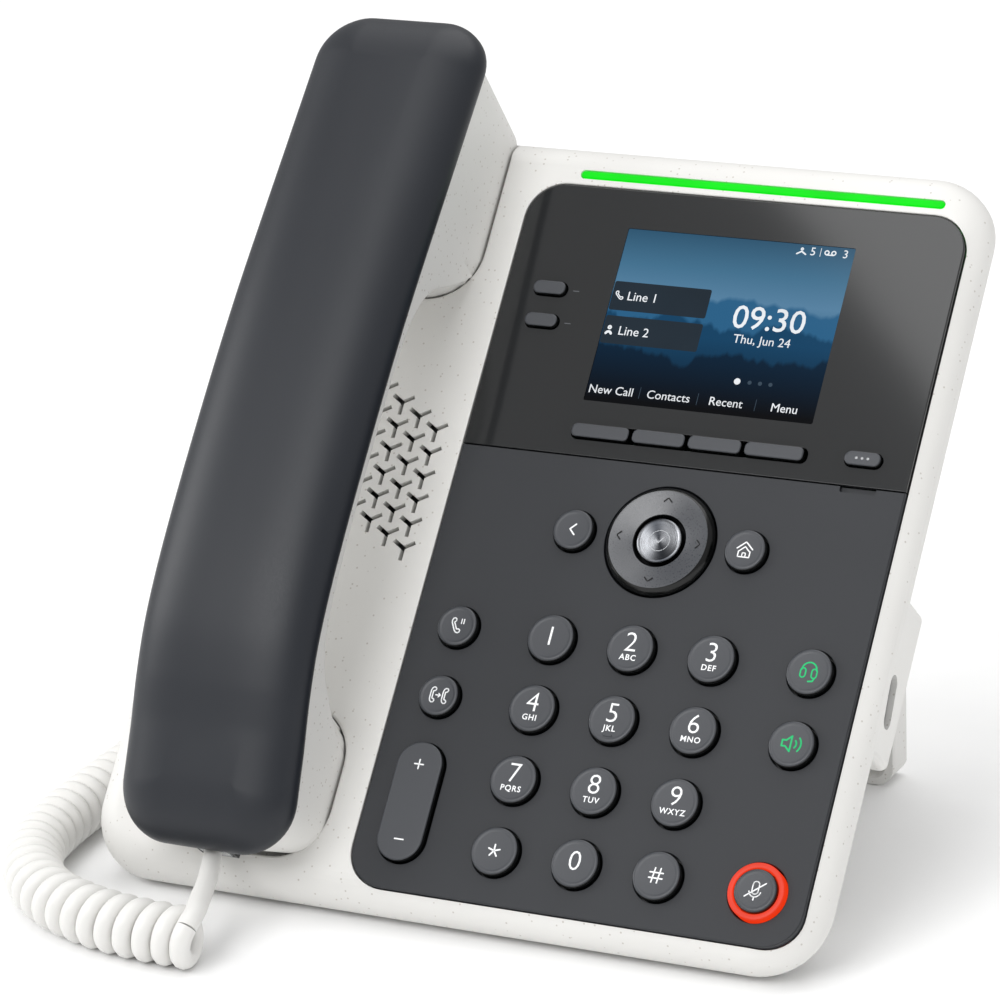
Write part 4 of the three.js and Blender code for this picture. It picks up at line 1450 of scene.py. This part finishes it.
# ------------------------------------------------------------------------------------- key field
class Icons:
    """Symbols drawn in pen strokes about a centre, with a size of about two units each way."""

    @staticmethod
    def handset(x: float, y: float, size: float, width: float, turn: float = 135.0) -> BMesh:
        """The outline of a telephone handset, turned so many degrees from one that lies face down.

        Args:
            x: its middle, across.
            y: its middle, up the slope.
            size: its scale.
            width: how wide the pen is.
            turn: how far it is turned.

        Returns:
            The symbol.
        """
        half = [(0, 0.42), (0.9, 0.42), (1.4, 0.25), (1.68, -0.1), (1.62, -0.5)]
        half += [(1.3, -0.7), (0.95, -0.55), (0.8, -0.1), (0, -0.1)]
        outline = half + [(-px, py) for px, py in reversed(half)]
        way = math.radians(turn)
        points = []
        for px, py in outline:
            across = px * math.cos(way) - py * math.sin(way)
            points.append((x + size * across, y + size * (px * math.sin(way) + py * math.cos(way))))
        return stroke(points, width)

    @staticmethod
    def hold(x: float, y: float) -> BMesh:
        """A handset with two bars."""
        bars = [stroke([(x + at, y + 0.6), (x + at, y + 1.7)], 0.24) for at in (1.0, 1.6)]
        return gathered([Icons.handset(x - 0.4, y - 0.1, 1.15, 0.3, 118), *bars])

    @staticmethod
    def transfer(x: float, y: float) -> BMesh:
        """Two handsets with an arrow between them.

        Args:
            x: its middle, across.
            y: its middle, up the slope.

        Returns:
            The symbol.
        """
        head = stroke([(x + 0.15, y + 0.42), (x + 0.6, y), (x + 0.15, y - 0.42)], 0.26)
        shaft = stroke([(x - 0.55, y), (x + 0.55, y)], 0.26)
        pair = [Icons.handset(x + at, y, 1.1, 0.3, 90) for at in (-1.45, 1.6)]
        return gathered([head, shaft, *pair])

    @staticmethod
    def headset(x: float, y: float) -> BMesh:
        """A band with two ear cups and a boom.

        Args:
            x: its middle, across.
            y: its middle, up the slope.

        Returns:
            The symbol.
        """
        band = stroke(arc(x, y + 0.4, 1.75, 0, 180, 14), 0.36)
        cups = []
        for at in (-1.35, 1.35):
            cup = [*arc(x + at, y + 0.1, 0.62, 0, 180, 6), *arc(x + at, y - 0.9, 0.62, 180, 360, 6)]
            cups.append(stroke([*cup, cup[0]], 0.34))
        boom = stroke([(x + 1.6, y - 1.5), (x + 1.3, y - 2.2), (x + 0.3, y - 2.35)], 0.4)
        return gathered([band, *cups, boom])

    @staticmethod
    def speaker(x: float, y: float) -> BMesh:
        """A loudspeaker with two waves.

        Args:
            x: its middle, across.
            y: its middle, up the slope.

        Returns:
            The symbol.
        """
        cone = [(x - 2.4, y - 0.7), (x - 1.5, y - 0.7), (x - 0.3, y - 1.8), (x - 0.3, y + 1.8)]
        cone += [(x - 1.5, y + 0.7), (x - 2.4, y + 0.7), (x - 2.4, y - 0.7)]
        waves = [stroke(arc(x - 0.3, y, radius, -40, 40, 8), 0.4) for radius in (1.3, 2.4)]
        return gathered([stroke(cone, 0.42), *waves])

    @staticmethod
    def muted(x: float, y: float) -> BMesh:
        """A microphone struck through.

        Args:
            x: its middle, across.
            y: its middle, up the slope.

        Returns:
            The symbol.
        """
        capsule = [*arc(x, y + 1.35, 0.75, 0, 180, 8), *arc(x, y - 0.1, 0.75, 180, 360, 8)]
        body = stroke([*capsule, capsule[0]], 0.28)
        cradle = stroke(arc(x, y - 0.1, 1.4, 190, 350, 10), 0.28)
        foot = stroke([(x, y - 1.5), (x, y - 2.2)], 0.3)
        strike = stroke([(x - 2.2, y - 1.6), (x + 2.2, y + 1.9)], 0.3)
        return gathered([body, cradle, foot, strike])

    @staticmethod
    def home(x: float, y: float) -> BMesh:
        """A house with a second roof line.

        Args:
            x: its middle, across.
            y: its middle, up the slope.

        Returns:
            The symbol.
        """
        roof = stroke([(x - 1.9, y + 0.2), (x, y + 1.9), (x + 1.9, y + 0.2)], 0.3)
        inner = stroke([(x - 1.35, y - 0.5), (x, y + 0.75), (x + 1.35, y - 0.5)], 0.28)
        corners = [(x - 1.4, y - 0.4), (x - 1.4, y - 1.8), (x + 1.4, y - 1.8), (x + 1.4, y - 0.4)]
        walls = stroke(corners, 0.3)
        opening = [(x - 0.4, y - 1.7), (x - 0.4, y - 0.8), (x + 0.4, y - 0.8), (x + 0.4, y - 1.7)]
        door = stroke(opening, 0.24)
        return gathered([roof, inner, walls, door])

    @staticmethod
    def chevron(x: float, y: float, turn: float, size: float = 0.9, width: float = 0.26) -> BMesh:
        """An open arrow head pointing a way, in degrees from across.

        Args:
            x: its middle, across.
            y: its middle, up the slope.
            turn: the way it points.
            size: half its width.
            width: how wide the pen is.

        Returns:
            The symbol.
        """
        way = math.radians(turn)
        points = []
        for along, aside in ((-size * 0.5, size), (size * 0.5, 0), (-size * 0.5, -size)):
            px = x + along * math.cos(way) - aside * math.sin(way)
            py = y + along * math.sin(way) + aside * math.cos(way)
            points.append((px, py))
        return stroke(points, width)

    @staticmethod
    def tick(x: float, y: float) -> BMesh:
        """A tick in a circle.

        Args:
            x: its middle, across.
            y: its middle, up the slope.

        Returns:
            The symbol.
        """
        ring = stroke(arc(x, y, 2.5, 0, 360, 32), 0.14)
        mark = stroke([(x - 0.8, y + 0.1), (x - 0.2, y - 0.6), (x + 0.9, y + 0.75)], 0.2)
        return gathered([ring, mark])

    @staticmethod
    def dots(x: float, y: float) -> BMesh:
        """Three dots in a row."""
        return gathered([stroke(arc(x + at, y, 0.14, 0, 360, 8), 0.36) for at in (-1.4, 0, 1.4)])


PILLS = ((-11.05, 155.1, 8.4), (-11.05, 146.7, 8.4), (76.55, 120.6, 8.9))


@dataclass(frozen=True)
class KeyField:
    """The keypad plate, every key in it and above it, and the lit ring round the mute key."""

    centre: float = PANEL_MIDDLE
    column: float = 19.95
    side: float = 43.75
    first_row: float = 68.5
    row: float = 17.25
    nav: float = NAV_Y
    rise: float = 1.8
    digit: float = 5.75

    def places(self) -> dict[str, tuple[float, float, float]]:
        """Each round key's place and radius, by node name.

        Returns:
            The middle across, the middle up the slope and the radius of each key.
        """
        names = ["1", "2", "3", "4", "5", "6", "7", "8", "9", "star", "0", "pound"]
        found = {}
        for index, name in enumerate(names):
            x = self.centre + (index % 3 - 1) * self.column
            found["key_" + name] = (x, self.first_row - index // 3 * self.row, self.digit)
        left, right = self.centre - self.side, self.centre + self.side
        found["hold_key"] = (left, self.first_row, 5.0)
        found["transfer_key"] = (left, self.first_row - self.row, 5.0)
        found["headset_key"] = (right, self.first_row, 5.5)
        found["speaker_key"] = (right, self.first_row - self.row, 5.5)
        found["mute_key"] = (right, self.first_row - 3 * self.row, 5.1)
        found["back_key"] = (self.centre - 21.5, self.nav, 5.0)
        found["home_key"] = (self.centre + 21.5, self.nav, 5.0)
        return found

    def rocker(self) -> tuple[float, float, float]:
        """The volume rocker's place and length."""
        return self.centre - self.side, self.first_row - 2.5 * self.row, self.row + 11.5

    def plate(self) -> None:
        """Makes the plate with a lipped hole for each key."""
        body = grow([self.square_top(inset, height) for inset, height in rounded(-2, 0, 0.3, 3)])
        holes = []
        for name, (x, y, radius) in self.places().items():
            wide = 6.75 if name == "mute_key" else radius
            holes.append(Plan.about(x, y, 2 * wide + 0.6, 2 * wide + 0.6, wide + 0.29, 12))
        holes.append(Plan.about(self.centre, self.nav, 27.4, 27.4, 13.69, 20))
        x, y, length = self.rocker()
        holes.append(Plan.about(x, y, 12.1, length + 0.6, 6.04, 12))
        body = carved(body, gathered([slab(hole, flare(4, 0.2)) for hole in holes]))
        notch = Plan(72.5, 81.3, 112.4, 116, 0.6, 4)
        body = carved(body, slab(notch, [(0, -1), (0, 1)]))
        fitted(piece("keypad_panel", body, [PANEL]), "base", "charcoal_plate", "keypad_plate")

    def square_top(self, inset: float, height: float) -> list[Vector]:
        """A ring of the plate, round at the bottom and square at the seam.

        Args:
            inset: how far the ring is drawn in.
            height: its level.

        Returns:
            The points of the ring.
        """
        low, high, radius, half = 4.6, 113.85, 9.0, PANEL_HALF
        ring = Plan(self.centre - half, self.centre + half, low, high, radius, 10).ring(inset, height)
        for point in ring:
            if point.y > high - radius:
                point.x = self.centre + (half - inset if point.x > self.centre else inset - half)
                point.y = high - inset * 0.5 - (high - inset - point.y) * 0.001
        return ring

    def cap(self, radius: float, wide: float) -> BMesh:
        """A round key cap: a shallow dish with a soft rim, and a flange under the plate.

        Args:
            radius: the cap's radius.
            wide: the flange's radius.

        Returns:
            The cap, about its own middle.
        """
        top = self.rise
        profile = [
            (0, top - 0.1), (radius - 1.35, top - 0.1), (radius - 1.1, top - 0.05),
            (radius - 0.8, top), (radius - 0.45, top - 0.03), (radius - 0.2, top - 0.14),
            (radius - 0.06, top - 0.32), (radius, top - 0.6),
            (radius, -2.4), (wide, -2.4), (wide, -3), (0, -3),
        ]
        return self.with_shaded_sides(turned(profile))

    def with_shaded_sides(self, bm: BMesh) -> BMesh:
        """The same cap, with its sides in the second finish, which paints them near-black as shade.

        Args:
            bm: the cap.

        Returns:
            The same cap.
        """
        for face in bm.faces:
            if face.calc_center_median().z < self.rise - 0.2:
                face.material_index = 1
        return bm

    def legends(self) -> dict[str, BMesh]:
        """What is printed on each key, about the key's own middle, by node name.

        Returns:
            The print of each key.
        """
        groups = ["", "ABC", "DEF", "GHI", "JKL", "MNO", "PQRS", "TUV", "WXYZ"]
        prints = {}
        for index, group in enumerate(groups):
            digit = letters(str(index + 1), 6.7, 0, 1.25 if group else 0.2, -0.07)
            under = [letters(group, 1.95, 0, -2.3, 0.03, spread=1.15)] if group else []
            prints[f"key_{index + 1}"] = gathered([digit, *under])
        rays = [stroke([(0, 0), (1.45 * math.cos(t), 1.45 * math.sin(t))], 0.38) for t in self.five_ways()]
        prints["key_star"] = gathered(rays)
        prints["key_0"] = letters("0", 6.7, 0, 0.3, -0.07)
        bars = [stroke([(at, -1.7), (at + 0.35, 1.7)], 0.34) for at in (-0.85, 0.5)]
        bars += [stroke([(-1.6, at), (1.6, at)], 0.34) for at in (-0.65, 0.65)]
        prints["key_pound"] = gathered(bars)
        prints["hold_key"] = Icons.hold(0, 0)
        prints["transfer_key"] = Icons.transfer(0, 0)
        prints["headset_key"] = Icons.headset(0, 0)
        prints["speaker_key"] = Icons.speaker(0.2, 0)
        prints["mute_key"] = Icons.muted(0, 0)
        prints["back_key"] = Icons.chevron(0, 0, 180, 1.3, 0.38)
        prints["home_key"] = Icons.home(0, 0)
        return prints

    @staticmethod
    def five_ways() -> list[float]:
        """Five even directions, the first one up."""
        return [math.pi / 2 + index * 2 * math.pi / 5 for index in range(5)]

    @staticmethod
    def printed(name: str, bm: BMesh, body: str, place: tuple[float, float, float], ink: Finish) -> None:
        """Makes one key's legend at its place, riding with the key."""
        fitted(piece(name, moved(bm, *place), [ink], even=False), body, "key_plastic")

    def round_keys(self) -> None:
        """Makes every round key with its legend."""
        prints = self.legends()
        for name, (x, y, radius) in self.places().items():
            wide = radius if name == "mute_key" else radius + 0.75
            cap = moved(self.cap(radius, wide + 0.001), x, y)
            fitted(piece(name + "_cap", cap, [KEY_TOP, SIDE_SHADE_AND_MARK_BLACK]), name, "key_plastic", name)
            ink = GREEN_INK if name in ("headset_key", "speaker_key") else WHITE_INK
            self.printed(name + "_legend", prints[name], name, (x, y, self.rise - 0.11), ink)

    def nub(self) -> None:
        """Makes the raised bar on the 5 key that a finger finds."""
        x, y, _ = self.places()["key_5"]
        plan = Plan.about(x, y - 4.0, 2.2, 0.5, 0.22, 4)
        bar = slab(plan, rounded(self.rise - 0.2, self.rise + 0.1, 0.2, 3))
        fitted(piece("key_5_nub", bar, [KEY_TOP]), "key_5", "key_plastic")

    def bar(self, width: float, length: float, radius: float, rise: float, level: float) -> BMesh:
        """A bar-shaped cap with a flange, whose top lies at a level.

        Args:
            width: the cap's width.
            length: the cap's length.
            radius: its corners' radius.
            rise: the level of its top.
            level: the level of its flange.

        Returns:
            The cap, about its own middle.
        """
        plan = Plan.about(0, 0, width, length, radius, 12)
        steps = [(-0.45, level - 0.6), (-0.45, level), (0, level + 0.001)]
        return self.bar_with_shaded_sides(slab(plan, [*steps, *rounded(level + 0.2, rise, 0.45, 5)]), rise)

    @staticmethod
    def bar_with_shaded_sides(bm: BMesh, rise: float) -> BMesh:
        """The same bar cap, with its sides in the second finish, which paints them near-black as shade.

        Args:
            bm: the cap.
            rise: the level of its top.

        Returns:
            The same cap.
        """
        for face in bm.faces:
            if face.calc_center_median().z < rise - 0.2:
                face.material_index = 1
        return bm

    def bars(self) -> None:
        """Makes the rocker, the line keys, the more key and the soft keys."""
        x, y, length = self.rocker()
        cap = moved(self.bar(11.5, length, 5.7, self.rise, -2.9), x, y)
        cap = piece("volume_rocker_cap", cap, [KEY_TOP, SIDE_SHADE_AND_MARK_BLACK])
        fitted(cap, "volume_rocker", "key_plastic", "volume_rocker")
        plus = [stroke([(-1.1, 8.9), (1.1, 8.9)], 0.34), stroke([(0, 7.8), (0, 10)], 0.34)]
        signs = gathered([*plus, stroke([(-1.1, -9.3), (1.1, -9.3)], 0.34)])
        self.printed("volume_rocker_legend", signs, "volume_rocker", (x, y, self.rise), WHITE_INK)
        names = ("line_key_1", "line_key_2", "more_key")
        for name, (x, y, width) in zip(names, PILLS):
            cap = moved(self.bar(width, 3.4, 1.65, 1.2, -2.4), x, y)
            fitted(piece(name + "_cap", cap, [KEY_TOP, SIDE_SHADE_AND_MARK_BLACK]), name, "key_plastic", name)
            if name == "more_key":
                self.printed(name + "_legend", Icons.dots(0, 0), name, (x, y, 1.2), WHITE_INK)
            else:
                dash = stroke([(-0.7, 0), (0.7, 0)], 0.22)
                self.printed(name + "_mark", dash, "base", (x + 6.6, y, 0.005), GREY_INK)
        left = 4.0
        for index in range(4):
            width = 14.8 if index in (0, 3) else 13.5
            plan = Plan.about(left + width / 2, 120.1, width - 0.2, 3.4, 1.3, 8)
            cap = self.bar_with_shaded_sides(slab(plan, rounded(-3, 1.2, 0.45, 5)), 1.2)
            name = f"soft_key_{index + 1}"
            fitted(piece(name + "_cap", cap, [KEY_TOP, SIDE_SHADE_AND_MARK_BLACK]), name, "key_plastic", name)
            left += width + 0.6

    def navigation(self) -> None:
        """Makes the tilting ring, the metal button in it and the lit ring round the mute key."""
        inner, outer, top = 6.3, 13.4, self.rise
        profile = [
            (inner, -2.6), (outer, -2.6), (outer, -0.2), (outer - 0.15, 0.35), (outer - 0.5, 0.9),
            (outer - 0.95, top - 0.25), (outer - 1.4, top), (11.4, top - 0.05), (10.0, 1.5), (8.2, 1.2),
            (inner + 0.7, 0.95), (inner + 0.2, 0.85), (inner, 0.6),
        ]
        ring = turned(profile, 96)
        for face in ring.faces:
            middle = face.calc_center_median()
            out = math.hypot(middle.x, middle.y)
            # The ring's outer shoulder and inner edge take the near-black painted shade.
            if out > outer - 1.4 or out < inner + 0.1:
                face.material_index = 1
        ring = moved(ring, self.centre, self.nav)
        fitted(piece("navigation_ring", ring, [RING, SIDE_SHADE_AND_MARK_BLACK]), "nav_ring", "key_plastic", "nav_ring")
        marks = []
        for turn in (0, 90, 180, 270):
            way = math.radians(turn)
            marks.append(Icons.chevron(9.9 * math.cos(way), 9.9 * math.sin(way), turn, 0.95, 0.3))
        self.printed("navigation_marks", gathered(marks), "nav_ring", (self.centre, self.nav, 1.54), SIDE_SHADE_AND_MARK_BLACK)
        button = 5.45
        profile = [(0, 0.75), (2.4, 0.8), (4.4, 1.0), (button - 0.5, 1.2), (button - 0.15, 1.12)]
        profile += [(button, 0.9), (button, -3), (0, -3)]
        select = moved(turned(profile, 64), self.centre, self.nav)
        fitted(piece("select_button_cap", select, [SPUN]), "select_button", "spun_metal", "select_button")
        self.printed("select_mark", Icons.tick(0, 0), "select_button", (self.centre, self.nav, 0.82), STEEL)
        x, y, _ = self.places()["mute_key"]
        inner, outer, top = 5.25, 6.7, 1.3
        profile = [(inner, -1.8), (outer, -1.8), (outer, top - 0.4), (outer - 0.15, top - 0.1)]
        profile += [(outer - 0.4, top), (inner + 0.4, top), (inner + 0.15, top - 0.1), (inner, top - 0.4)]
        lit = moved(turned(profile, 64), x, y)
        fitted(piece("mute_ring", lit, [RED_LIGHT]), "base", "red_light", "mute_light_ring")

    def build(self) -> None:
        """Makes the plate and every key."""
        self.plate()
        self.round_keys()
        self.nub()
        self.bars()
        self.navigation()


# ------------------------------------------------------------------------------------- handset
@dataclass(frozen=True)
class Handset:
    """The dark cover and the light body with its two cups."""

    plan: HandsetPlan = HandsetPlan()
    wall: float = 1.2
    hollow: float = 3.0
    crown_power: float = 2.8
    shoulder_power: float = 2.0
    # Side outlines, as (slope, height): where cover and body meet, the cover's crown, the grip's underside.
    parting: tuple = (
        (0, 13.2), (12, 15.2), (26, 19.5), (39, 24.3), (52, 27.6), (70, 29.3),
        (100, 29.8), (130, 29.2), (158, 27.2), (187, 24.8), (208, 23.4),
    )
    crown: tuple = (
        (0, 22.5), (12, 24.6), (26, 28.4), (39, 33), (52, 36.4), (70, 38.6),
        (100, 39.4), (130, 38.8), (158, 36.8), (187, 34.2), (208, 32.6),
    )
    grip: tuple = (
        (34, 0), (40, 9), (46, 17), (54, 22.4), (70, 24.8),
        (100, 25.6), (130, 24.6), (143, 19), (150, 8), (156, 0),
    )

    def stations(self) -> tuple[float, ...]:
        """Places along the slope, close together where the cups' walls rise.

        Returns:
            The places, in millimetres up the slope.
        """
        places: list[float] = []
        at = 27.5
        while at < 170:
            places.append(at)
            busy = 36 < at < 58 or 138 < at < 158
            at += 0.8 if busy else 3.0
        return tuple(places)

    def outline(self, low: float, high: float, inset: float = 0.0, corner: float = 12.8) -> Plan:
        """The handset's plan between two ends.

        Args:
            low: where it starts, up the slope.
            high: where it ends.
            inset: how far its sides are drawn in.
            corner: its corners' radius.

        Returns:
            The plan.
        """
        half = self.plan.width / 2 - inset
        left, right = self.plan.centre - half, self.plan.centre + half
        return Plan(left, right, low, high, corner - inset, 14, self.stations())

    def cover(self) -> BMesh:
        """The crowned cover, hollow underneath: soft shoulders that run into a gentle crown.

        Returns:
            The cover.
        """
        crown, parting = smooth_line(self.crown), smooth_line(self.parting)
        plan = self.outline(self.plan.low, self.plan.high)
        half = self.plan.width / 2
        middle = half - PINCH

        def level(share: float, lower: float = 0.0) -> Callable[[float, float], float]:
            """The height at a share of the fall from the crown to the foot of the shoulder."""

            def height(x: float, y: float) -> float:
                """The height over a place."""
                foot = parting(y) + self.wall
                return crown(y) - lower - (crown(y) - lower - foot) * share

            return height

        def lip(rise: float) -> Callable[[float, float], float]:
            """A height above the line where cover and body meet."""
            return lambda x, y: parting(y) + rise

        under = ((middle, 0), (12, 0.1), (5.5, 0.3), (2.8, 0.7))
        rings = [plan.ring(inset, level(share, self.hollow)) for inset, share in under]
        rings += [plan.ring(2.4, lip(0.0)), plan.ring(0.35, lip(0.0)), plan.ring(0, lip(0.35))]
        count = 20
        for i in range(count + 1):
            inset = middle * (1 - math.cos(math.pi / 2 * i / count))
            across = 1 - inset / middle
            share = 1 - (1 - across**self.crown_power) ** (1 / self.shoulder_power)
            rings.append(plan.ring(inset, level(share)))
        return grow(rings, pinch=True)

    def underside(self) -> Callable[[float, float], float]:
        """The height of the body's underside over the plan: flat on the cups, arched over the grip.

        Returns:
            A function from a place to a height.
        """
        grip = smooth_line(self.grip)
        seat = self.plan.seat
        half = self.plan.width / 2 - self.plan.tuck
        radius = self.plan.corner - 1

        def outside(x: float, y: float, low: float, high: float) -> float:
            """How far a place lies outside the cup between two ends, or a negative depth inside it."""
            across = abs(x - self.plan.centre) - (half - radius)
            along = max(low + radius - y, y - (high - radius))
            reach = math.hypot(max(across, 0), max(along, 0)) + min(max(across, along), 0)
            return reach - radius

        def height(x: float, y: float) -> float:
            """The underside's height over a place."""
            mouth = outside(x, y, -20, self.plan.mouth[1])
            ear = outside(x, y, self.plan.ear[0], 240)
            away = max(0.0, min(mouth, ear))
            if away <= 0:
                return seat
            wall = seat + away * 12
            return min(wall, grip(y)) if 34 < y < 156 else min(wall, 6.0)

        return height

    def body(self) -> BMesh:
        """The light body: a top that follows the parting line, side walls and the two cups.

        Returns:
            The body.
        """
        parting, under = smooth_line(self.parting), self.underside()
        middle = self.plan.width / 2 - self.plan.tuck - PINCH

        def outline(share: float) -> Plan:
            """The plan at a share of the way down; its top end's corners tighten towards the seat."""
            low = 4.9 + 5.3 * share
            high = 206.6 - 8.5 * share
            return self.outline(low, high, self.plan.tuck, 12.6 - 5.0 * share)

        def wall(share: float, lift: float = 0.0) -> Callable[[float, float], float]:
            """The height at a share of the way from the body's top to its underside."""

            def height(x: float, y: float) -> float:
                """The height over a place."""
                top = parting(y) - 0.3
                return top + (under(x, y) + lift - top) * share

            return height

        top_plan = outline(0)
        rings = [top_plan.ring(middle, wall(0)), top_plan.ring(6, wall(0)), top_plan.ring(0.5, wall(0))]
        rings.append(top_plan.ring(0.12, lambda x, y: parting(y) - 0.42))
        for share in (0.06, 0.3, 0.55, 0.8, 1.0):
            rings.append(outline(share).ring(0, wall(share, 1.6)))
        base = outline(1.0)
        for turn in (0.35, 0.75, 1.15, 1.57):
            rings.append(base.ring(1.6 * (1 - math.cos(turn)), wall(1.0, 1.6 * (1 - math.sin(turn)))))
        for inset in (3.2, 4.6, 6.5, 9, 12, 15.5, 19, middle):
            rings.append(base.ring(inset, wall(1.0)))
        body = grow(rings, pinch=True)
        socket = Plan.about(0, 0, 8.8, 7.2, 0.6, 4)
        hole = slab(socket, [(0, 0), (0, 22)])
        hole = reshaped(hole, Matrix.Translation((HANDSET_SOCKET_X, -5, 9)) @ UP_SLOPE)
        return carved(body, hole)

    def sound_holes(self) -> None:
        """Makes the small holes in the two cups, as dark plugs set just into the surface: they stand for the
        black part behind each hole and the painted shade inside it.
        """
        for name, y, rings in (("earpiece_holes", 172, 2), ("microphone_hole", 22, 0)):
            holes = [(0.0, 0.0)]
            for ring in range(1, rings + 1):
                count = 6 * ring
                turns = [2 * math.pi * index / count for index in range(count)]
                holes += [(3 * ring * math.cos(turn), 3 * ring * math.sin(turn)) for turn in turns]
            dots = []
            for x, along in holes:
                dot = turned([(0, -0.02), (0.7, -0.02), (0.8, 0.3), (0, 0.3)], 16)
                dots.append(moved(dot, self.plan.centre + x, y + along, self.plan.seat))
            fitted(piece(name, gathered(dots), [BLACK_ABS]), "handset", "black_plastic")

    def build(self) -> None:
        """Makes the handset."""
        cover = piece("handset_top_cover", self.cover(), [COVER], sharp=50)
        fitted(cover, "handset", "handset_cover", "handset_cover")
        body = piece("handset_light_body", self.body(), [SHELL], sharp=40)
        fitted(body, "handset", "light_shell", "handset_body")
        self.sound_holes()


# ------------------------------------------------------------------------------------- small inner parts
def dress_inner_parts() -> None:
    """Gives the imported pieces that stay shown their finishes."""
    finishes = {
        "dome_mat": RUBBER, "key_board": BOARD, "main_board": BOARD, "loudspeaker": BLACK_ABS,
        "hook_plunger": BLACK_ABS, "usb_c_port": STEEL, "earpiece_receiver": BLACK_ABS,
        "handset_microphone": BLACK_ABS, "handset_socket": BLACK_ABS,
        "handset_plug": CLEAR_PC, "base_plug": CLEAR_PC,
    }
    for name, finish in finishes.items():
        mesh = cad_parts[name].data
        mesh.materials.clear()
        mesh.materials.append(finish.material())
        LOG.info("%s is dressed in %s", name, finish.name)


@dataclass(frozen=True)
class Studio:
    """A plain pale floor and soft lights."""

    @staticmethod
    def light(name: str, place: Sequence[float], size: float, power: float) -> bpy.types.Object:
        """Makes one soft light that looks at the phone's middle.

        Args:
            name: the light's name.
            place: where it stands, in metres.
            size: the disk's diameter, in metres.
            power: its power, in watts.

        Returns:
            The light.
        """
        data = bpy.data.lights.new(name, "AREA")
        data.shape = "DISK"
        data.size = size
        data.energy = power
        lamp = bpy.data.objects.new(name, data)
        bpy.context.scene.collection.objects.link(lamp)
        lamp.location = place
        lamp.rotation_euler = (Vector((0, 0, 0.09)) - Vector(place)).to_track_quat("-Z", "Y").to_euler()
        return lamp

    def build(self) -> None:
        """Makes the floor, the sky and the lights."""
        floor = bmesh.new()
        bmesh.ops.create_grid(floor, x_segments=2, y_segments=2, size=4.0)
        made = piece("studio_floor", floor, [FLOOR], Matrix.Identity(4), even=False)
        world = bpy.data.worlds.new("studio")
        world.use_nodes = True
        sky = world.node_tree.nodes["Background"]
        sky.inputs["Color"].default_value = linear("FFFFFF")
        sky.inputs["Strength"].default_value = 0.5
        bpy.context.scene.world = world
        bpy.context.scene.view_settings.view_transform = "Standard"
        self.light("overhead_softbox", (0.0, 0.7, 2.0), 2.2, 21)
        self.light("front_softbox", (-0.3, -1.7, 1.5), 1.4, 21)
        self.light("left_softbox", (-1.6, -0.5, 0.8), 1.0, 11)
        self.light("right_fill", (1.6, -0.4, 0.5), 1.2, 5).visible_glossy = False
        self.panel()

    def panel(self) -> None:
        """Makes the small flag of light that the black window mirrors in its right part."""
        edge_start, edge_end = Vector((-0.3942, -0.4394, 1.1479)), Vector((-0.3128, -0.5129, 1.1066))
        inside, window = Vector((-0.3269, -0.4527, 1.1527)), Vector((0.06, 0.035, 0.13))
        along = (edge_end - edge_start).normalized()
        away = ((edge_start + edge_end) / 2 - window).normalized()
        aside = (inside - edge_start).cross(along).cross(along)
        aside = -(aside - aside.dot(away) * away).normalized()
        data = bpy.data.lights.new("window_flag", "AREA")
        data.shape = "RECTANGLE"
        data.size, data.size_y = 0.4, 0.3
        data.energy = 1.0
        flag = bpy.data.objects.new("window_flag", data)
        bpy.context.scene.collection.objects.link(flag)
        middle = (edge_start + edge_end) / 2 + aside * data.size_y / 2
        across = aside.cross(away).normalized()
        turn = Matrix((across, aside, away)).transposed().to_4x4()
        flag.matrix_world = Matrix.Translation(middle) @ turn


def main() -> None:
    """Builds the phone, its cord and the studio."""
    logging.basicConfig(level=logging.INFO, format="%(message)s")
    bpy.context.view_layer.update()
    View().build()
    HandsetCord().build()
    handset = HandsetPlan()
    BaseCasing().build(handset)
    for jack in JACKS:
        jack.build()
    Stand().build()
    Display().build()
    KeyField().build()
    Handset(handset).build()
    dress_inner_parts()
    Studio().build()
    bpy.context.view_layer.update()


if __name__ == "__main__":
    main()
